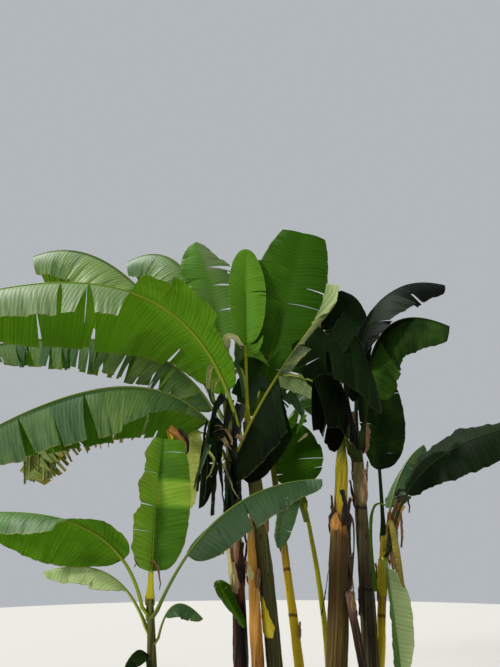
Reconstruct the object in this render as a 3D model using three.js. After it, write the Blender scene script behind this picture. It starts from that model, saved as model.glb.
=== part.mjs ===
// A clump of banana plants from one rootstock: leaning pseudostems cut flat at ground level, and the
// leaves that spread from their crowns. Sizes are in millimetres. +Z is up, +Y points away from the
// viewer, and the origin is on the ground, in the middle of the thickest stem's foot.
//
// A stem is a round, tapering body with a flared foot. A leaf is one thin body: a round stalk that
// becomes the midrib, with a half blade on each side. Its midrib is the curve through three places:
// its root on the stem, a crest and a tip, the last two told from the root by compass heading, reach
// along the ground and rise. Heading 0 is +X, 90 is +Y. Each half blade has its own tilt above the
// sideways direction, at its base, middle and end, and tears that open it down to the midrib.
import * as THREE from "three";

// Stems
const STEM_SIDES = 12;
const FOOT_FLARE = 1.25; // how much wider the foot is than the stem above it
const FLARE_HEIGHT = 240;

// Leaves
const STALK_CLEAR = 3; // between a stalk and its stem
const RIB_AT_TIP = 0.3; // the midrib's size at the tip, as a share of the stalk's
const STUB = 1.15; // half the width left where the blade is torn to the rib, in rib radii
const THICKNESS_SHARE = 0.01; // of the leaf's length
const LEAST_THICKNESS = 10;
const STALK_STEPS = 2;
const BLADE_STEPS = 7;
const TEAR_WIDTH = 0.022; // of the blade's length, at the edge
const FIRST_TEAR = 0.1; // along the blade
const LAST_TEAR = 0.95;
const TEAR_JITTER = 0.3; // of the distance between tears
const BEND_GAP = 1.5; // between the two bodies of a leaf that is parted at its bend

// Colours, roughness
const FINISHES = {
  green: [0x4f7a24, 0.55],
  bright: [0x6a9a22, 0.5],
  dark: [0x24431f, 0.55],
  sheath: [0x7c7442, 0.7],
  straw: [0xb98a4e, 0.85],
  yellow: [0xb5a021, 0.65],
  brown: [0x5a4030, 0.85],
};

// foot and top are plan positions, [x, y]. bow above 1 puts more of the lean near the top.
// profile lists radius against height: [height, radius].
const STEMS = {
  main: {
    foot: [0, 0], top: [84, 0], height: 2050, bow: 1, finish: "sheath",
    profile: [[0, 80], [1380, 72], [1450, 70], [1470, 50], [1800, 45], [1960, 26], [2050, 8]],
  },
  right: {
    foot: [281, 50], top: [190, 50], height: 2060, bow: 1, finish: "sheath",
    profile: [[0, 62], [1200, 50], [1750, 44], [2060, 36]],
  },
  green: {
    foot: [-386, 0], top: [-606, 0], height: 2120, bow: 1.2, finish: "sheath",
    profile: [[0, 60], [1300, 54], [1850, 48], [2120, 38]],
  },
  straw: {
    foot: [-512, -60], top: [-592, -60], height: 1400, bow: 1, finish: "straw",
    profile: [[0, 52], [700, 42], [1250, 26], [1400, 14]],
  },
  brown: {
    foot: [-631, 120], top: [-738, 120], height: 2180, bow: 1, finish: "brown",
    profile: [[0, 56], [1100, 46], [1900, 42], [2180, 34]],
  },
  yellow: {
    foot: [-192, 250], top: [-424, 250], height: 1860, bow: 1.1, finish: "yellow",
    profile: [[0, 40], [1000, 29], [1600, 25], [1860, 20]],
  },
  thin: {
    foot: [-10, 300], top: [-183, 300], height: 1540, bow: 2, finish: "yellow",
    profile: [[0, 24], [900, 19], [1540, 14]],
  },
  small: {
    foot: [322, 200], top: [396, 200], height: 1300, bow: 1, finish: "yellow",
    profile: [[0, 36], [800, 30], [1300, 24]],
  },
  sucker: {
    foot: [-1183, -600], top: [-1232, -600], height: 930, bow: 1, finish: "sheath",
    profile: [[0, 36], [600, 28], [930, 22]],
  },
  stump: {
    foot: [262, -125], top: [91, -130], height: 930, bow: 1, finish: "brown",
    profile: [[0, 34], [600, 29], [900, 26], [930, 18]],
  },
};

// at: the root's height, on the stem's side or, if above the stem, over its end. crest and tip:
// [heading, reach, rise] from the middle of the stem there. stalk: the bare share of the length.
// left and right, looking out along the leaf: that half blade's tilt in degrees above the sideways
// direction, spread evenly from the blade's base to its end, or as [place, tilt] pairs. In the same
// two ways: hang, the pull straight down that is added to that tilt, and reach, the width of the left
// and of the right half as a share of the plain outline's. tears: how many on the left and on the
// right, or their places. facing turns the blade, where it isn't the tip's heading, as one heading or
// a list spread along the leaf. lost: the share of the blade that is missing from its end. blunt: how
// square its ends are, 0.45 where it isn't given, and less for squarer. parted: where a strongly bent
// leaf is made of two bodies, along its length.
const LEAVES = {
  left_leaf_01: {
    stem: "green", at: 1990, crest: [198, 740, 990], tip: [192, 2120, 950], width: 880, stalk: 0.14,
    left: [[0, 17], [0.44, 14], [0.47, -38], [1, -44]], right: [-20, -45, -68, -78, -82],
    tears: [[0.455, 0.585, 0.675], [0.593]], reach: [[1, 1], [1, 1, 1.1, 1.2, 1.2]], parted: 0.5,
    lost: 0.04, blunt: 0.35, finish: "bright",
  },
  left_leaf_02: {
    stem: "brown", at: 2165, crest: [163, 880, 1170], tip: [167, 1670, 1350], width: 730, stalk: 0.2,
    left: [0, -10, -40, -56, -60], right: [-20, -40, -56, -60], tears: [1, 1],
    reach: [[1, 1], [0.2, 0.3, 0.8, 1]], lost: 0.1, blunt: 0.34, finish: "green",
  },
  left_leaf_03: {
    stem: "brown", at: 2118, crest: [126, 594, 1260], tip: [139, 1209, 1470], width: 660, stalk: 0.24,
    left: [-20, -40, -60], right: [-20, -40, -50], tears: [1, 1], lost: 0.1, blunt: 0.34,
    finish: "green",
  },
  left_leaf_04: {
    stem: "brown", at: 2186, crest: [118, 262, 918], tip: [122, 567, 1488], width: 560, stalk: 0.38,
    left: [30, 10, -10], right: [10, -10, -30], tears: [1, 3], facing: 95, finish: "bright",
  },
  left_leaf_05: {
    stem: "brown", at: 2060, crest: [174, 690, 640], tip: [174, 1960, 680], width: 500, stalk: 0.08,
    left: [-56, -74, -82], right: [-40, -72, -82], tears: [5, 4],
    reach: [[0.9, 1.15, 1.1, 1.3], [0.9, 1.15, 1.1, 1.3]], parted: 0.5, blunt: 0.34, finish: "green",
  },
  left_leaf_06: {
    stem: "brown", at: 1990, crest: [190, 760, 390], tip: [186, 1890, -10], width: 820, stalk: 0.09,
    left: [-30, -60, -68, -70], right: [-44, -60, -72, -78],
    tears: [[0.53, 0.8], [0.25, 0.43, 0.6, 0.78]],
    reach: [[0.25, 0.6, 0.95, 1, 1.1, 1.2], [1.25, 1.1, 1, 1, 1]], parted: 0.5, blunt: 0.32,
    finish: "green",
  },
  left_leaf_07: {
    stem: "green", at: 2126, crest: [97, 151, 788], tip: [92, 300, 1396], width: 330, stalk: 0.42,
    left: [55, 45, 20], right: [25, 10, -10], tears: [0, 1], facing: 85, finish: "bright",
  },
  left_leaf_08: {
    stem: "green", at: 2040, crest: [50, 290, 740], tip: [41, 580, 1640], width: 660, stalk: 0.2,
    left: [16, 10, 0], right: [4, 0, -6], tears: [0, 1], facing: 85, lost: 0.08, blunt: 0.36,
    finish: "bright",
  },
  left_leaf_09: {
    stem: "brown", at: 1830, crest: [308, 505, 577], tip: [354, 788, 1241], width: 860, stalk: 0.04,
    left: [[0, -70], [0.44, -50], [0.47, -20], [1, -20]],
    right: [[0, -40], [0.44, -45], [0.47, -14], [1, -14]], tears: [[0.455], [0.455, 0.62]],
    hang: [[0, 3], [0.44, 2.2], [0.47, 0.2], [1, 0.2]],
    reach: [
      [[0, 1], [0.44, 1], [0.47, 0.14], [1, 0.2]],
      [[0, 1], [0.44, 1], [0.47, 0.6], [0.6, 0.6], [0.64, 0.16], [1, 0.24]],
    ],
    facing: [290, 354, 408], finish: "dark",
  },
  left_leaf_10: {
    stem: "brown", at: 1800, crest: [158, 1030, 510], tip: [164, 1760, -10], width: 700, stalk: 0.3,
    left: [-60, -76, -80], right: [-60, -76, -80], tears: [2, 2], lost: 0.18, finish: "straw",
  },
  left_leaf_11: {
    stem: "brown", at: 2010, crest: [235, 246, 90], tip: [222, 300, -510], width: 260, stalk: 0.1,
    left: [-40, -60, -60], right: [-40, -60, -60], tears: [1, 1], finish: "dark",
  },
  left_leaf_12: {
    stem: "brown", at: 1750, crest: [263, 160, 50], tip: [258, 205, -340], width: 260, stalk: 0.1,
    left: [-50, -64, -60], right: [-50, -64, -60], tears: [0, 1], finish: "dark",
  },
  left_leaf_13: {
    stem: "brown", at: 1880, crest: [187, 254, 147], tip: [186, 299, -377], width: 170, stalk: 0.3,
    left: [0, 0, 0], right: [0, 0, 0], tears: [0, 0], facing: 250, finish: "yellow",
  },
  left_leaf_14: {
    stem: "brown", at: 1960, crest: [130, 500, 300], tip: [134, 570, 30], width: 200, stalk: 0.6,
    left: [-40, -60, -60], right: [-40, -60, -60], tears: [0, 1], finish: "straw",
  },
  left_leaf_15: {
    stem: "green", at: 1950, crest: [80, 560, 520], tip: [80, 1250, 450], width: 560, stalk: 0.2,
    left: [-20, -50, -64], right: [-20, -50, -64], tears: [2, 2], finish: "green",
  },
  brown_leaf_01: {
    stem: "brown", at: 940, crest: [215, 140, 30], tip: [290, 150, -260], width: 130, stalk: 0.2,
    left: [-20, -40, -50], right: [-20, -40, -50], tears: [0, 0], facing: 260, finish: "green",
  },
  main_leaf_01: {
    stem: "main", at: 1440, crest: [305, 125, -90], tip: [294, 135, -500], width: 50, stalk: 0.5,
    left: [-30, -50, -50], right: [-30, -50, -50], tears: [0, 0], facing: 335, finish: "brown",
  },
  right_leaf_01: {
    stem: "right", at: 1880, crest: [243, 304, 480], tip: [233, 588, 495], width: 840, stalk: 0.32,
    left: [-40, -40, -40], right: [-55, -55, -55], tears: [0, 1], hang: [2, 2],
    facing: [251, 233, 213], lost: 0.3, blunt: 0.3, finish: "dark",
  },
  right_leaf_02: {
    stem: "right", at: 1960, crest: [273, 330, 640], tip: [241, 540, 760], width: 680, stalk: 0.45,
    left: [-30, -40, -40], right: [-50, -50, -50], tears: [1, 1], hang: [1.6, 1.6],
    reach: [[1.2, 1.45, 1.5, 1.45, 1.3], [1, 1]], facing: [291, 241, 187], lost: 0.25, blunt: 0.3,
    finish: "dark",
  },
  right_leaf_03: {
    stem: "right", at: 2066, crest: [0, 171, 912], tip: [8, 730, 1124], width: 720, stalk: 0.3,
    left: [20, 0, -20], right: [10, -30, -40], tears: [1, 1], reach: [[0.7, 0.6], [1, 1]], blunt: 0.36,
    finish: "dark",
  },
  right_leaf_04: {
    stem: "right", at: 1930, crest: [333, 190, 830], tip: [331, 730, 845], width: 660, stalk: 0.3,
    left: [-40, -60, -70], right: [-80, -74, -74], tears: [0, 0], hang: [0.6, 1],
    reach: [[0.8, 0.8, 0.7], [1, 1, 0.95, 0.8]], lost: 0.05, blunt: 0.36, finish: "dark",
  },
  right_leaf_05: {
    stem: "right", at: 2000, crest: [100, 345, 760], tip: [95, 440, 1230], width: 600, stalk: 0.42,
    left: [10, 0, -10], right: [10, 0, -10], tears: [1, 1], reach: [[0.5, 0.55], [0.75, 0.95]],
    facing: 88, blunt: 0.34, finish: "green",
  },
  right_leaf_06: {
    stem: "right", at: 1900, crest: [128, 400, 600], tip: [124, 800, 600], width: 520, stalk: 0.22,
    left: [-20, -50, -64], right: [-20, -50, -64], tears: [2, 2], finish: "green",
  },
  small_leaf_01: {
    stem: "small", at: 1306, crest: [115, 66, 787], tip: [129, 128, 1327], width: 460, stalk: 0.36,
    left: [50, 50, 30], right: [0, 0, 0], tears: [0, 0], facing: 90, lost: 0.04, finish: "dark",
  },
  small_leaf_02: {
    stem: "small", at: 1200, crest: [336, 370, 620], tip: [340, 1153, 900], width: 560, stalk: 0.28,
    left: [28, 28, 10], right: [-30, -56, -66], tears: [0, 0], finish: "dark",
  },
  small_leaf_03: {
    stem: "small", at: 1150, crest: [280, 150, -340], tip: [284, 270, -800], width: 320, stalk: 0.1,
    left: [-10, -10, -10], right: [74, 70, 50], tears: [0, 0], facing: 280, finish: "bright",
  },
  small_leaf_04: {
    stem: "small", at: 1240, crest: [52, 253, 490], tip: [45, 567, 756], width: 330, stalk: 0.3,
    left: [-20, -40, -50], right: [-20, -40, -50], tears: [1, 1], finish: "green",
  },
  small_leaf_05: {
    stem: "small", at: 1215, crest: [292, 135, 190], tip: [312, 185, -275], width: 90, stalk: 0.3,
    left: [-30, -50, -50], right: [-30, -50, -50], tears: [0, 0], finish: "straw",
  },
  thin_leaf_01: {
    stem: "thin", at: 1546, crest: [136, 73, 340], tip: [91, 150, 600], width: 420, stalk: 0.2,
    left: [10, 5, 0], right: [10, 5, 0], tears: [0, 1], facing: 90, finish: "green",
  },
  thin_leaf_02: {
    stem: "thin", at: 1450, crest: [232, 220, 110], tip: [230, 340, -230], width: 190, stalk: 0.2,
    left: [-10, -20, -20], right: [-10, -20, -20], tears: [0, 0], facing: 240, finish: "green",
  },
  yellow_leaf_01: {
    stem: "yellow", at: 1866, crest: [330, 80, 200], tip: [335, 200, 380], width: 220, stalk: 0.3,
    left: [0, -20, -30], right: [0, -20, -30], tears: [1, 0], facing: 335, finish: "green",
  },
  sucker_leaf_01: {
    stem: "sucker", at: 880, crest: [187, 380, 480], tip: [186, 1130, 590], width: 640, stalk: 0.24,
    left: [30, 18, -10, -27, -30], right: [-50, -66, -76, -80], tears: [0, 0], parted: 0.55,
    finish: "bright",
  },
  sucker_leaf_02: {
    stem: "sucker", at: 936, crest: [75, 56, 493], tip: [72, 160, 1028], width: 480, stalk: 0.16,
    left: [60, 60, 50], right: [4, 0, 0], tears: [[0.28, 0.47, 0.72], [0.9]],
    reach: [[0.95, 0.95, 0.75, 0.6, 0.5], [1, 1]], facing: 88, lost: 0.08, blunt: 0.34,
    finish: "bright",
  },
  sucker_leaf_03: {
    stem: "sucker", at: 860, crest: [344, 496, 620], tip: [347, 1121, 820], width: 460, stalk: 0.28,
    left: [20, -15, -30], right: [-80, -70, -56, -50], tears: [0, 1], lost: 0.04, finish: "green",
  },
  sucker_leaf_04: {
    stem: "sucker", at: 690, crest: [0, 140, 205], tip: [8, 330, 110], width: 220, stalk: 0.3,
    left: [-20, -40, -50], right: [-30, -50, -60], tears: [0, 0], finish: "green",
  },
  sucker_leaf_05: {
    stem: "sucker", at: 760, crest: [154, 350, 320], tip: [161, 800, 320], width: 320, stalk: 0.3,
    left: [-20, -45, -60], right: [-20, -50, -60], tears: [0, 0], finish: "green",
  },
  sucker_leaf_06: {
    stem: "sucker", at: 520, crest: [248, 160, 120], tip: [242, 300, 20], width: 170, stalk: 0.3,
    left: [-20, -40, -50], right: [-20, -40, -50], tears: [0, 0], finish: "dark",
  },
  sucker_leaf_07: {
    stem: "sucker", at: 840, crest: [92, 300, 460], tip: [86, 820, 430], width: 340, stalk: 0.26,
    left: [-20, -45, -60], right: [-20, -45, -60], tears: [1, 0], finish: "green",
  },
  right_leaf_07: {
    stem: "right", at: 2040, crest: [176, 140, 370], tip: [178, 360, 740], width: 420, stalk: 0.42,
    left: [20, 20, 15], right: [10, 5, 0], tears: [1, 0], reach: [[1, 1], [0.3, 0.4, 0.7, 0.9]],
    facing: 88, lost: 0.1, blunt: 0.34, finish: "dark",
  },
};

const radians = THREE.MathUtils.degToRad;
const UP = new THREE.Vector3(0, 0, 1);

// A level direction from a compass heading in degrees.
function level(heading) {
  return new THREE.Vector3(Math.cos(radians(heading)), Math.sin(radians(heading)), 0);
}

// Steady random numbers from 0 to 1, the same for the same seed.
function randomFrom(seed) {
  let state = (seed * 7919 + 12345) % 4294967296;
  return () => {
    state = (state * 1664525 + 1013904223) % 4294967296;
    return state / 4294967296;
  };
}

// The middle of a stem at a height.
function stemAxis(stem, height) {
  const share = Math.pow(Math.max(height, 0) / stem.height, stem.bow);
  return new THREE.Vector3(
    stem.foot[0] + (stem.top[0] - stem.foot[0]) * share,
    stem.foot[1] + (stem.top[1] - stem.foot[1]) * share,
    height,
  );
}

// A stem's radius at a height, foot flare included.
function stemRadius(stem, height) {
  const above = stem.profile.findIndex(([h]) => h >= height);
  const [h1, r1] = stem.profile[Math.max(above, 1)];
  const [h0, r0] = stem.profile[Math.max(above, 1) - 1];
  const plain = r0 + ((r1 - r0) * (height - h0)) / (h1 - h0);
  const flare = Math.max(0, 1 - height / FLARE_HEIGHT);
  return plain * (1 + (FOOT_FLARE - 1) * flare * flare);
}

// A stem as a turned body, each ring then moved sideways by its lean.
function stemGeometry(stem) {
  const flareRings = [0, 0.33, 0.66, 1].map((share) => share * FLARE_HEIGHT);
  const heights = [...flareRings, ...stem.profile.slice(1).map(([h]) => h)];
  const outline = heights.map((h) => new THREE.Vector2(stemRadius(stem, h), h));
  const closed = [new THREE.Vector2(0, 0), ...outline, new THREE.Vector2(0, stem.height)];
  const geometry = new THREE.LatheGeometry(closed, STEM_SIDES).rotateX(Math.PI / 2);
  const place = geometry.getAttribute("position");
  for (let i = 0; i < place.count; i++) {
    const axis = stemAxis(stem, place.getZ(i));
    place.setXYZ(i, place.getX(i) + axis.x, place.getY(i) + axis.y, place.getZ(i));
  }
  return geometry;
}

// The midrib's curve, from its root beside the stem, through its crest, to its tip.
function midribCurve(leaf, stalkRadius) {
  const stem = STEMS[leaf.stem];
  const axis = stemAxis(stem, leaf.at);
  const [crest, tip] = [leaf.crest, leaf.tip].map(([heading, reach, rise]) =>
    level(heading).multiplyScalar(reach).addScaledVector(UP, rise).add(axis),
  );
  const control = crest.clone().multiplyScalar(2).addScaledVector(axis.clone().add(tip), -0.5);
  const out = control.clone().sub(axis).setZ(0).normalize();
  const lean = control.clone().sub(axis).normalize().z;
  const beside = leaf.at > stem.height
    ? 0
    : stemRadius(stem, leaf.at) + stalkRadius * 1.15 * Math.abs(lean) + STALK_CLEAR;
  return new THREE.QuadraticBezierCurve3(axis.clone().addScaledVector(out, beside), control, tip);
}

// A blade's half width along it, as a share of its widest: round at the base, blunt at the tip.
function outlineShare(along, lost = 0, blunt = 0.45) {
  return Math.pow(Math.sin(Math.PI * Math.pow(along * (1 - lost), 0.8)), blunt);
}

// The value at a place from 0 to 1 along a list of values that are spread evenly, or of
// [place, value] pairs.
function spread(values, along) {
  if (Array.isArray(values[0])) {
    const next = Math.max(values.findIndex(([place]) => place >= along), 1);
    const [[p0, v0], [p1, v1]] = [values[next - 1], values[next]];
    return v0 + ((v1 - v0) * (along - p0)) / (p1 - p0);
  }
  const place = Math.min(along, 0.9999) * (values.length - 1);
  const first = Math.floor(place);
  return values[first] + (values[first + 1] - values[first]) * (place - first);
}

// The places of count tears along a blade, evenly spread with a little jitter, or the places given.
function tearPlaces(count, random) {
  if (Array.isArray(count)) return count;
  const step = (LAST_TEAR - FIRST_TEAR) / (count + 1);
  return Array.from({ length: count }, (_, i) =>
    FIRST_TEAR + step * (i + 1 + (random() - 0.5) * 2 * TEAR_JITTER),
  );
}

// The sections to join up: how far along the leaf, and how open each half blade is there.
function leafStations(leaf, seed) {
  const random = randomFrom(seed);
  const tears = leaf.tears.map((count) => tearPlaces(count, random));
  const alongs = Array.from({ length: BLADE_STEPS + 1 }, (_, i) => i / BLADE_STEPS);
  const half = TEAR_WIDTH / 2;
  for (const place of tears.flat()) alongs.push(place - half, place, place + half);
  alongs.sort((a, b) => a - b);
  const spaced = alongs.filter((along, i) => {
    const atTear = tears.flat().some((place) => Math.abs(along - place) < half * 1.01);
    const near = tears.flat().some((place) => Math.abs(along - place) < half * 2);
    return atTear || !near || i === 0 || i === alongs.length - 1;
  });
  const stalk = Array.from({ length: STALK_STEPS }, (_, i) => ({
    s: (i / STALK_STEPS) * leaf.stalk, open: [0, 0], along: 0,
  }));
  const blade = spaced.map((along) => ({
    s: leaf.stalk + (1 - leaf.stalk) * along,
    along,
    open: tears.map((places, hand) =>
      places.some((place) => Math.abs(along - place) < half * 0.5)
        ? 0
        : outlineShare(along, leaf.lost, leaf.blunt) * spread(leaf.reach?.[hand] ?? [1, 1], along),
    ),
  }));
  return [...stalk, ...blade];
}

// One section across a leaf: six points round the midrib and the two half blades. A half blade folds
// to its tilt only where it is wide, so that the stubs at a tear stay clear of each other.
function leafSection(leaf, curve, station, stalkRadius, thickness) {
  const place = curve.getPointAt(station.s);
  const ahead = curve.getTangentAt(station.s);
  const facing = leaf.facing ?? leaf.tip[0];
  const side = level(Array.isArray(facing) ? spread(facing, station.s) : facing).cross(UP);
  side.addScaledVector(ahead, -side.dot(ahead)).normalize();
  const above = side.clone().cross(ahead);
  const rib = stalkRadius * (1 - (1 - RIB_AT_TIP) * station.s);
  const halfThick = Math.min(thickness / 2, rib * 0.9);
  const edge = (tilts, hand, open) => {
    const reach = Math.max(rib * STUB, (leaf.width / 2) * open);
    const fold = Math.min(1, reach / (rib * STUB) - 1);
    const angle = radians(spread(tilts, station.along)) * fold;
    const hang = spread(leaf.hang ?? [0, 0], station.along) * fold;
    const way = side.clone().multiplyScalar(hand * Math.cos(angle));
    way.addScaledVector(above, Math.sin(angle));
    way.addScaledVector(UP, -hang).normalize();
    const normal = way.clone().cross(ahead).multiplyScalar(hand).normalize();
    return [1, -1].map((up) =>
      place.clone().addScaledVector(way, reach).addScaledVector(normal, up * halfThick),
    );
  };
  const left = edge(leaf.left, -1, station.open[0]);
  const right = edge(leaf.right, 1, station.open[1]);
  const top = place.clone().addScaledVector(above, rib);
  const bottom = place.clone().addScaledVector(above, -rib);
  return [top, left[0], left[1], bottom, right[1], right[0]];
}

// A closed body through rings of the same number of points, with flat ends. The upper and lower face
// of a half blade are split along the same diagonal, so a twisted blade keeps its thickness.
function loftGeometry(rings) {
  const sides = rings[0].length;
  const places = rings.flat().flatMap((p) => p.toArray());
  const faces = [];
  for (let r = 0; r + 1 < rings.length; r++) {
    for (let i = 0; i < sides; i++) {
      const a = r * sides + i;
      const b = r * sides + ((i + 1) % sides);
      if (i % 3 === 2) faces.push(a, a + sides, b + sides, a, b + sides, b);
      else faces.push(a, a + sides, b, b, a + sides, b + sides);
    }
  }
  const last = (rings.length - 1) * sides;
  const half = sides / 2;
  // An end is closed side by side: the left half blade's end, then the right one's.
  for (const [start, flip] of [[0, false], [last, true]]) {
    for (const from of [0, half]) {
      for (let i = 1; i + 1 <= half; i++) {
        const three = [start + from, start + from + i, start + ((from + i + 1) % sides)];
        faces.push(...(flip ? three.reverse() : three));
      }
    }
  }
  const geometry = new THREE.BufferGeometry();
  geometry.setAttribute("position", new THREE.Float32BufferAttribute(places, 3));
  return geometry.setIndex(faces);
}

// A leaf's one body, or its two where it is parted at the bend.
function leafGeometries(leaf, seed) {
  const stalkRadius = 9 + leaf.width * 0.016;
  const curve = midribCurve(leaf, stalkRadius);
  const thickness = Math.max(LEAST_THICKNESS, curve.getLength() * THICKNESS_SHARE);
  const stations = leafStations(leaf, seed);
  const rings = (some) =>
    loftGeometry(some.map((s) => leafSection(leaf, curve, s, stalkRadius, thickness)));
  if (!leaf.parted) return { "": rings(stations) };
  const cut = stations.findIndex((s) => s.s > leaf.parted && s.open[0] && s.open[1]);
  const gap = BEND_GAP / curve.getLength();
  const beyond = { ...stations[cut], s: stations[cut].s + gap };
  return {
    _inner: rings(stations.slice(0, cut + 1)),
    _outer: rings([beyond, ...stations.slice(cut + 1)]),
  };
}

function finish(name) {
  const [color, roughness] = FINISHES[name];
  return new THREE.MeshStandardMaterial({ color, roughness, metalness: 0 });
}

function named(name, geometry, material) {
  const mesh = new THREE.Mesh(geometry, material);
  mesh.name = name;
  return mesh;
}

const clump = new THREE.Group();
for (const [name, stem] of Object.entries(STEMS)) {
  clump.add(named(`stem_${name}`, stemGeometry(stem), finish(stem.finish)));
}
Object.entries(LEAVES).forEach(([name, leaf], seed) => {
  for (const [suffix, geometry] of Object.entries(leafGeometries(leaf, seed + 1))) {
    clump.add(named(name + suffix, geometry, finish(leaf.finish)));
  }
});

export default clump;
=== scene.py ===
"""Dresses a clump of banana plants: stems with peeling sheaths, and torn, ribbed leaves.

The sizes of stems and leaves are those of the solids, in millimetres. A leaf's midrib runs through its
root, crest and tip, and each half blade is a fine grid that is torn, drooped and ruffled.
"""
from __future__ import annotations

import logging
import math
from dataclasses import dataclass
from enum import Enum

import bmesh
import bpy
import numpy as np
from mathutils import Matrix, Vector


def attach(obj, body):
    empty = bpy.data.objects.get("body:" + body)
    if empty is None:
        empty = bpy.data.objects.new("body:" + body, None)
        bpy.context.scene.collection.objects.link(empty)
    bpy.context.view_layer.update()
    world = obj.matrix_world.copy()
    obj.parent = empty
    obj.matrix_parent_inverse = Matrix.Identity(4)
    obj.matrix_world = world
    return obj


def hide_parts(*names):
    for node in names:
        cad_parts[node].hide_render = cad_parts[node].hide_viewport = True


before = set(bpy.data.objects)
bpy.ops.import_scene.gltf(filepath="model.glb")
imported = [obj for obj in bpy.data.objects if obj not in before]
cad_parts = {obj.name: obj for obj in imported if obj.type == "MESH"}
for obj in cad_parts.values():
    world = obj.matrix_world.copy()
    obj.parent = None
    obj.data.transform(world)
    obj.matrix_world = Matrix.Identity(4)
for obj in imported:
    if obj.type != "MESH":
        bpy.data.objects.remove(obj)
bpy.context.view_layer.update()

LOG = logging.getLogger("banana")

MM = 0.001
FULL_TURN = 2 * math.pi
UP = np.array([0.0, 0.0, 1.0])
# What the solids have too, in millimetres or as shares.
FOOT_FLARE = 1.25
FLARE_HEIGHT = 240.0
STALK_CLEAR = 3.0
RIB_AT_TIP = 0.3
FIRST_TEAR = 0.1
LAST_TEAR = 0.95
TEAR_JITTER = 0.3
OUTLINE_SKEW = 0.8
# How finely stems, ribs, blades and strips are parted, and the least and most steps of each.
CURVE_STEPS = 200
STEM_STEP = 16.0
STEM_SIDES = 40
RIB_STEP = 30.0
RIB_STEPS = (14, 64)
RIB_SIDES = 10
BLADE_STEP = 9.5
BLADE_STEPS = (24, 190)
ROWS_A_HALF = 9
ROW_SPREAD = 0.92
FLAP_STEP = 12.0
FLAP_STEPS = (8, 40)
FLAP_ROWS = 8
RIBBON_STEP = 10.0
RIBBON_STEPS = (8, 60)
RIBBON_ROWS = 6
# Thickness, and the spacing of veins and pleats, in metres.
BLADE_THICKNESS = 0.0022
SHEATH_THICKNESS = 0.0018
VEIN = 0.0085
BROAD_VEIN = 0.031
PLEAT = 0.038
# Tears: where across the blade the solid's ones start, half a tear's line, how near two may be,
# how far a strip's place is held back from one, and how roundly one opens.
TEAR_START = 0.04
TEAR_LINE = 1e-4
TEAR_MARGIN = 0.02
STILL = 0.016
GAP_CURVE = 0.8
# The edge of a sheath winds once round its stem in a height between these.
SHEATH_PITCH = (1500, 3200)
# Where a stalk widens to clasp its stem, and how it runs on inside.
CLASP_LENGTH = 170.0
CLASP_WIDER = 0.9
CLASP_INSET = 0.75
CLASP_DROP = 45.0
CLASP_BEFORE = -60.0
# Each leaf and strip reads the noise at a place of its own.
MAP_STEP = 137
STRIP_MAP_STEP = 7
# Where the dry fringe ends at the left.
FRINGE_END = -2360
FLOOR_RADIUS = 9.0
FLOOR_DROP = -0.002
SKY = (0.9, 0.95, 1.0, 1.0)
SKY_STRENGTH = 0.5
SENSOR = 36.0
# Across this line of sight a strip's width is laid.
STRIP_VIEW = (0.13, -1.0, 0.21)
# The rule of the random numbers, which the solids have too.
STATES = 4294967296
SEED_FACTOR = 7919
SEED_START = 12345
STATE_FACTOR = 1664525
STATE_STEP = 1013904223

Place = tuple[float, float, float]
# Values spread evenly from 0 to 1, or (place, value) pairs.
Line = tuple[float, ...] | tuple[tuple[float, float], ...]
# How many tears a half blade has, or their places.
Tears = int | tuple[float, ...]


def linear(code: str) -> tuple[float, float, float, float]:
    """Turns a colour code into the numbers that a shader takes.

    Args:
        code: Six hexadecimal digits, as on a display.

    Returns:
        Red, green, blue and one.
    """
    parts = [int(code[i:i + 2], 16) / 255 for i in (0, 2, 4)]
    return (*(p / 12.92 if p <= 0.04045 else ((p + 0.055) / 1.055) ** 2.4 for p in parts), 1.0)


class Value:
    """A number in a node tree, with Python's operators."""

    def __init__(self, graph: "Graph", socket: bpy.types.NodeSocket) -> None:
        """Keeps the tree and the socket that the number comes from."""
        self.graph = graph
        self.socket = socket

    def _math(self, operation: str, *values: "Value | float") -> "Value":
        """Adds a Math node of the named operation on the values."""
        return self.graph.node("ShaderNodeMath", {"operation": operation}, dict(enumerate(values)))

    def __add__(self, other: "Value | float") -> "Value":
        """Adds."""
        return self._math("ADD", self, other)

    def __sub__(self, other: "Value | float") -> "Value":
        """Subtracts."""
        return self._math("SUBTRACT", self, other)

    def __rsub__(self, other: "Value | float") -> "Value":
        """Subtracts this from a number."""
        return self._math("SUBTRACT", other, self)

    def __mul__(self, other: "Value | float") -> "Value":
        """Multiplies."""
        return self._math("MULTIPLY", self, other)

    def __truediv__(self, other: "Value | float") -> "Value":
        """Divides."""
        return self._math("DIVIDE", self, other)

    def __pow__(self, other: "Value | float") -> "Value":
        """Raises to a power."""
        return self._math("POWER", self, other)

    def abs(self) -> "Value":
        """The number without its sign."""
        return self._math("ABSOLUTE", self)

    def sin(self) -> "Value":
        """The sine of the number."""
        return self._math("SINE", self)

    def ramp(self, low: float, high: float) -> "Value":
        """Goes smoothly from 0 to 1 while the number goes from low to high.

        Args:
            low: Where the result is 0.
            high: Where the result is 1. It may be the lower number.

        Returns:
            The share, from 0 to 1.
        """
        settings = {"interpolation_type": "SMOOTHSTEP"}
        return self.graph.node("ShaderNodeMapRange", settings, {"Value": self, 1: low, 2: high})


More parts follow.
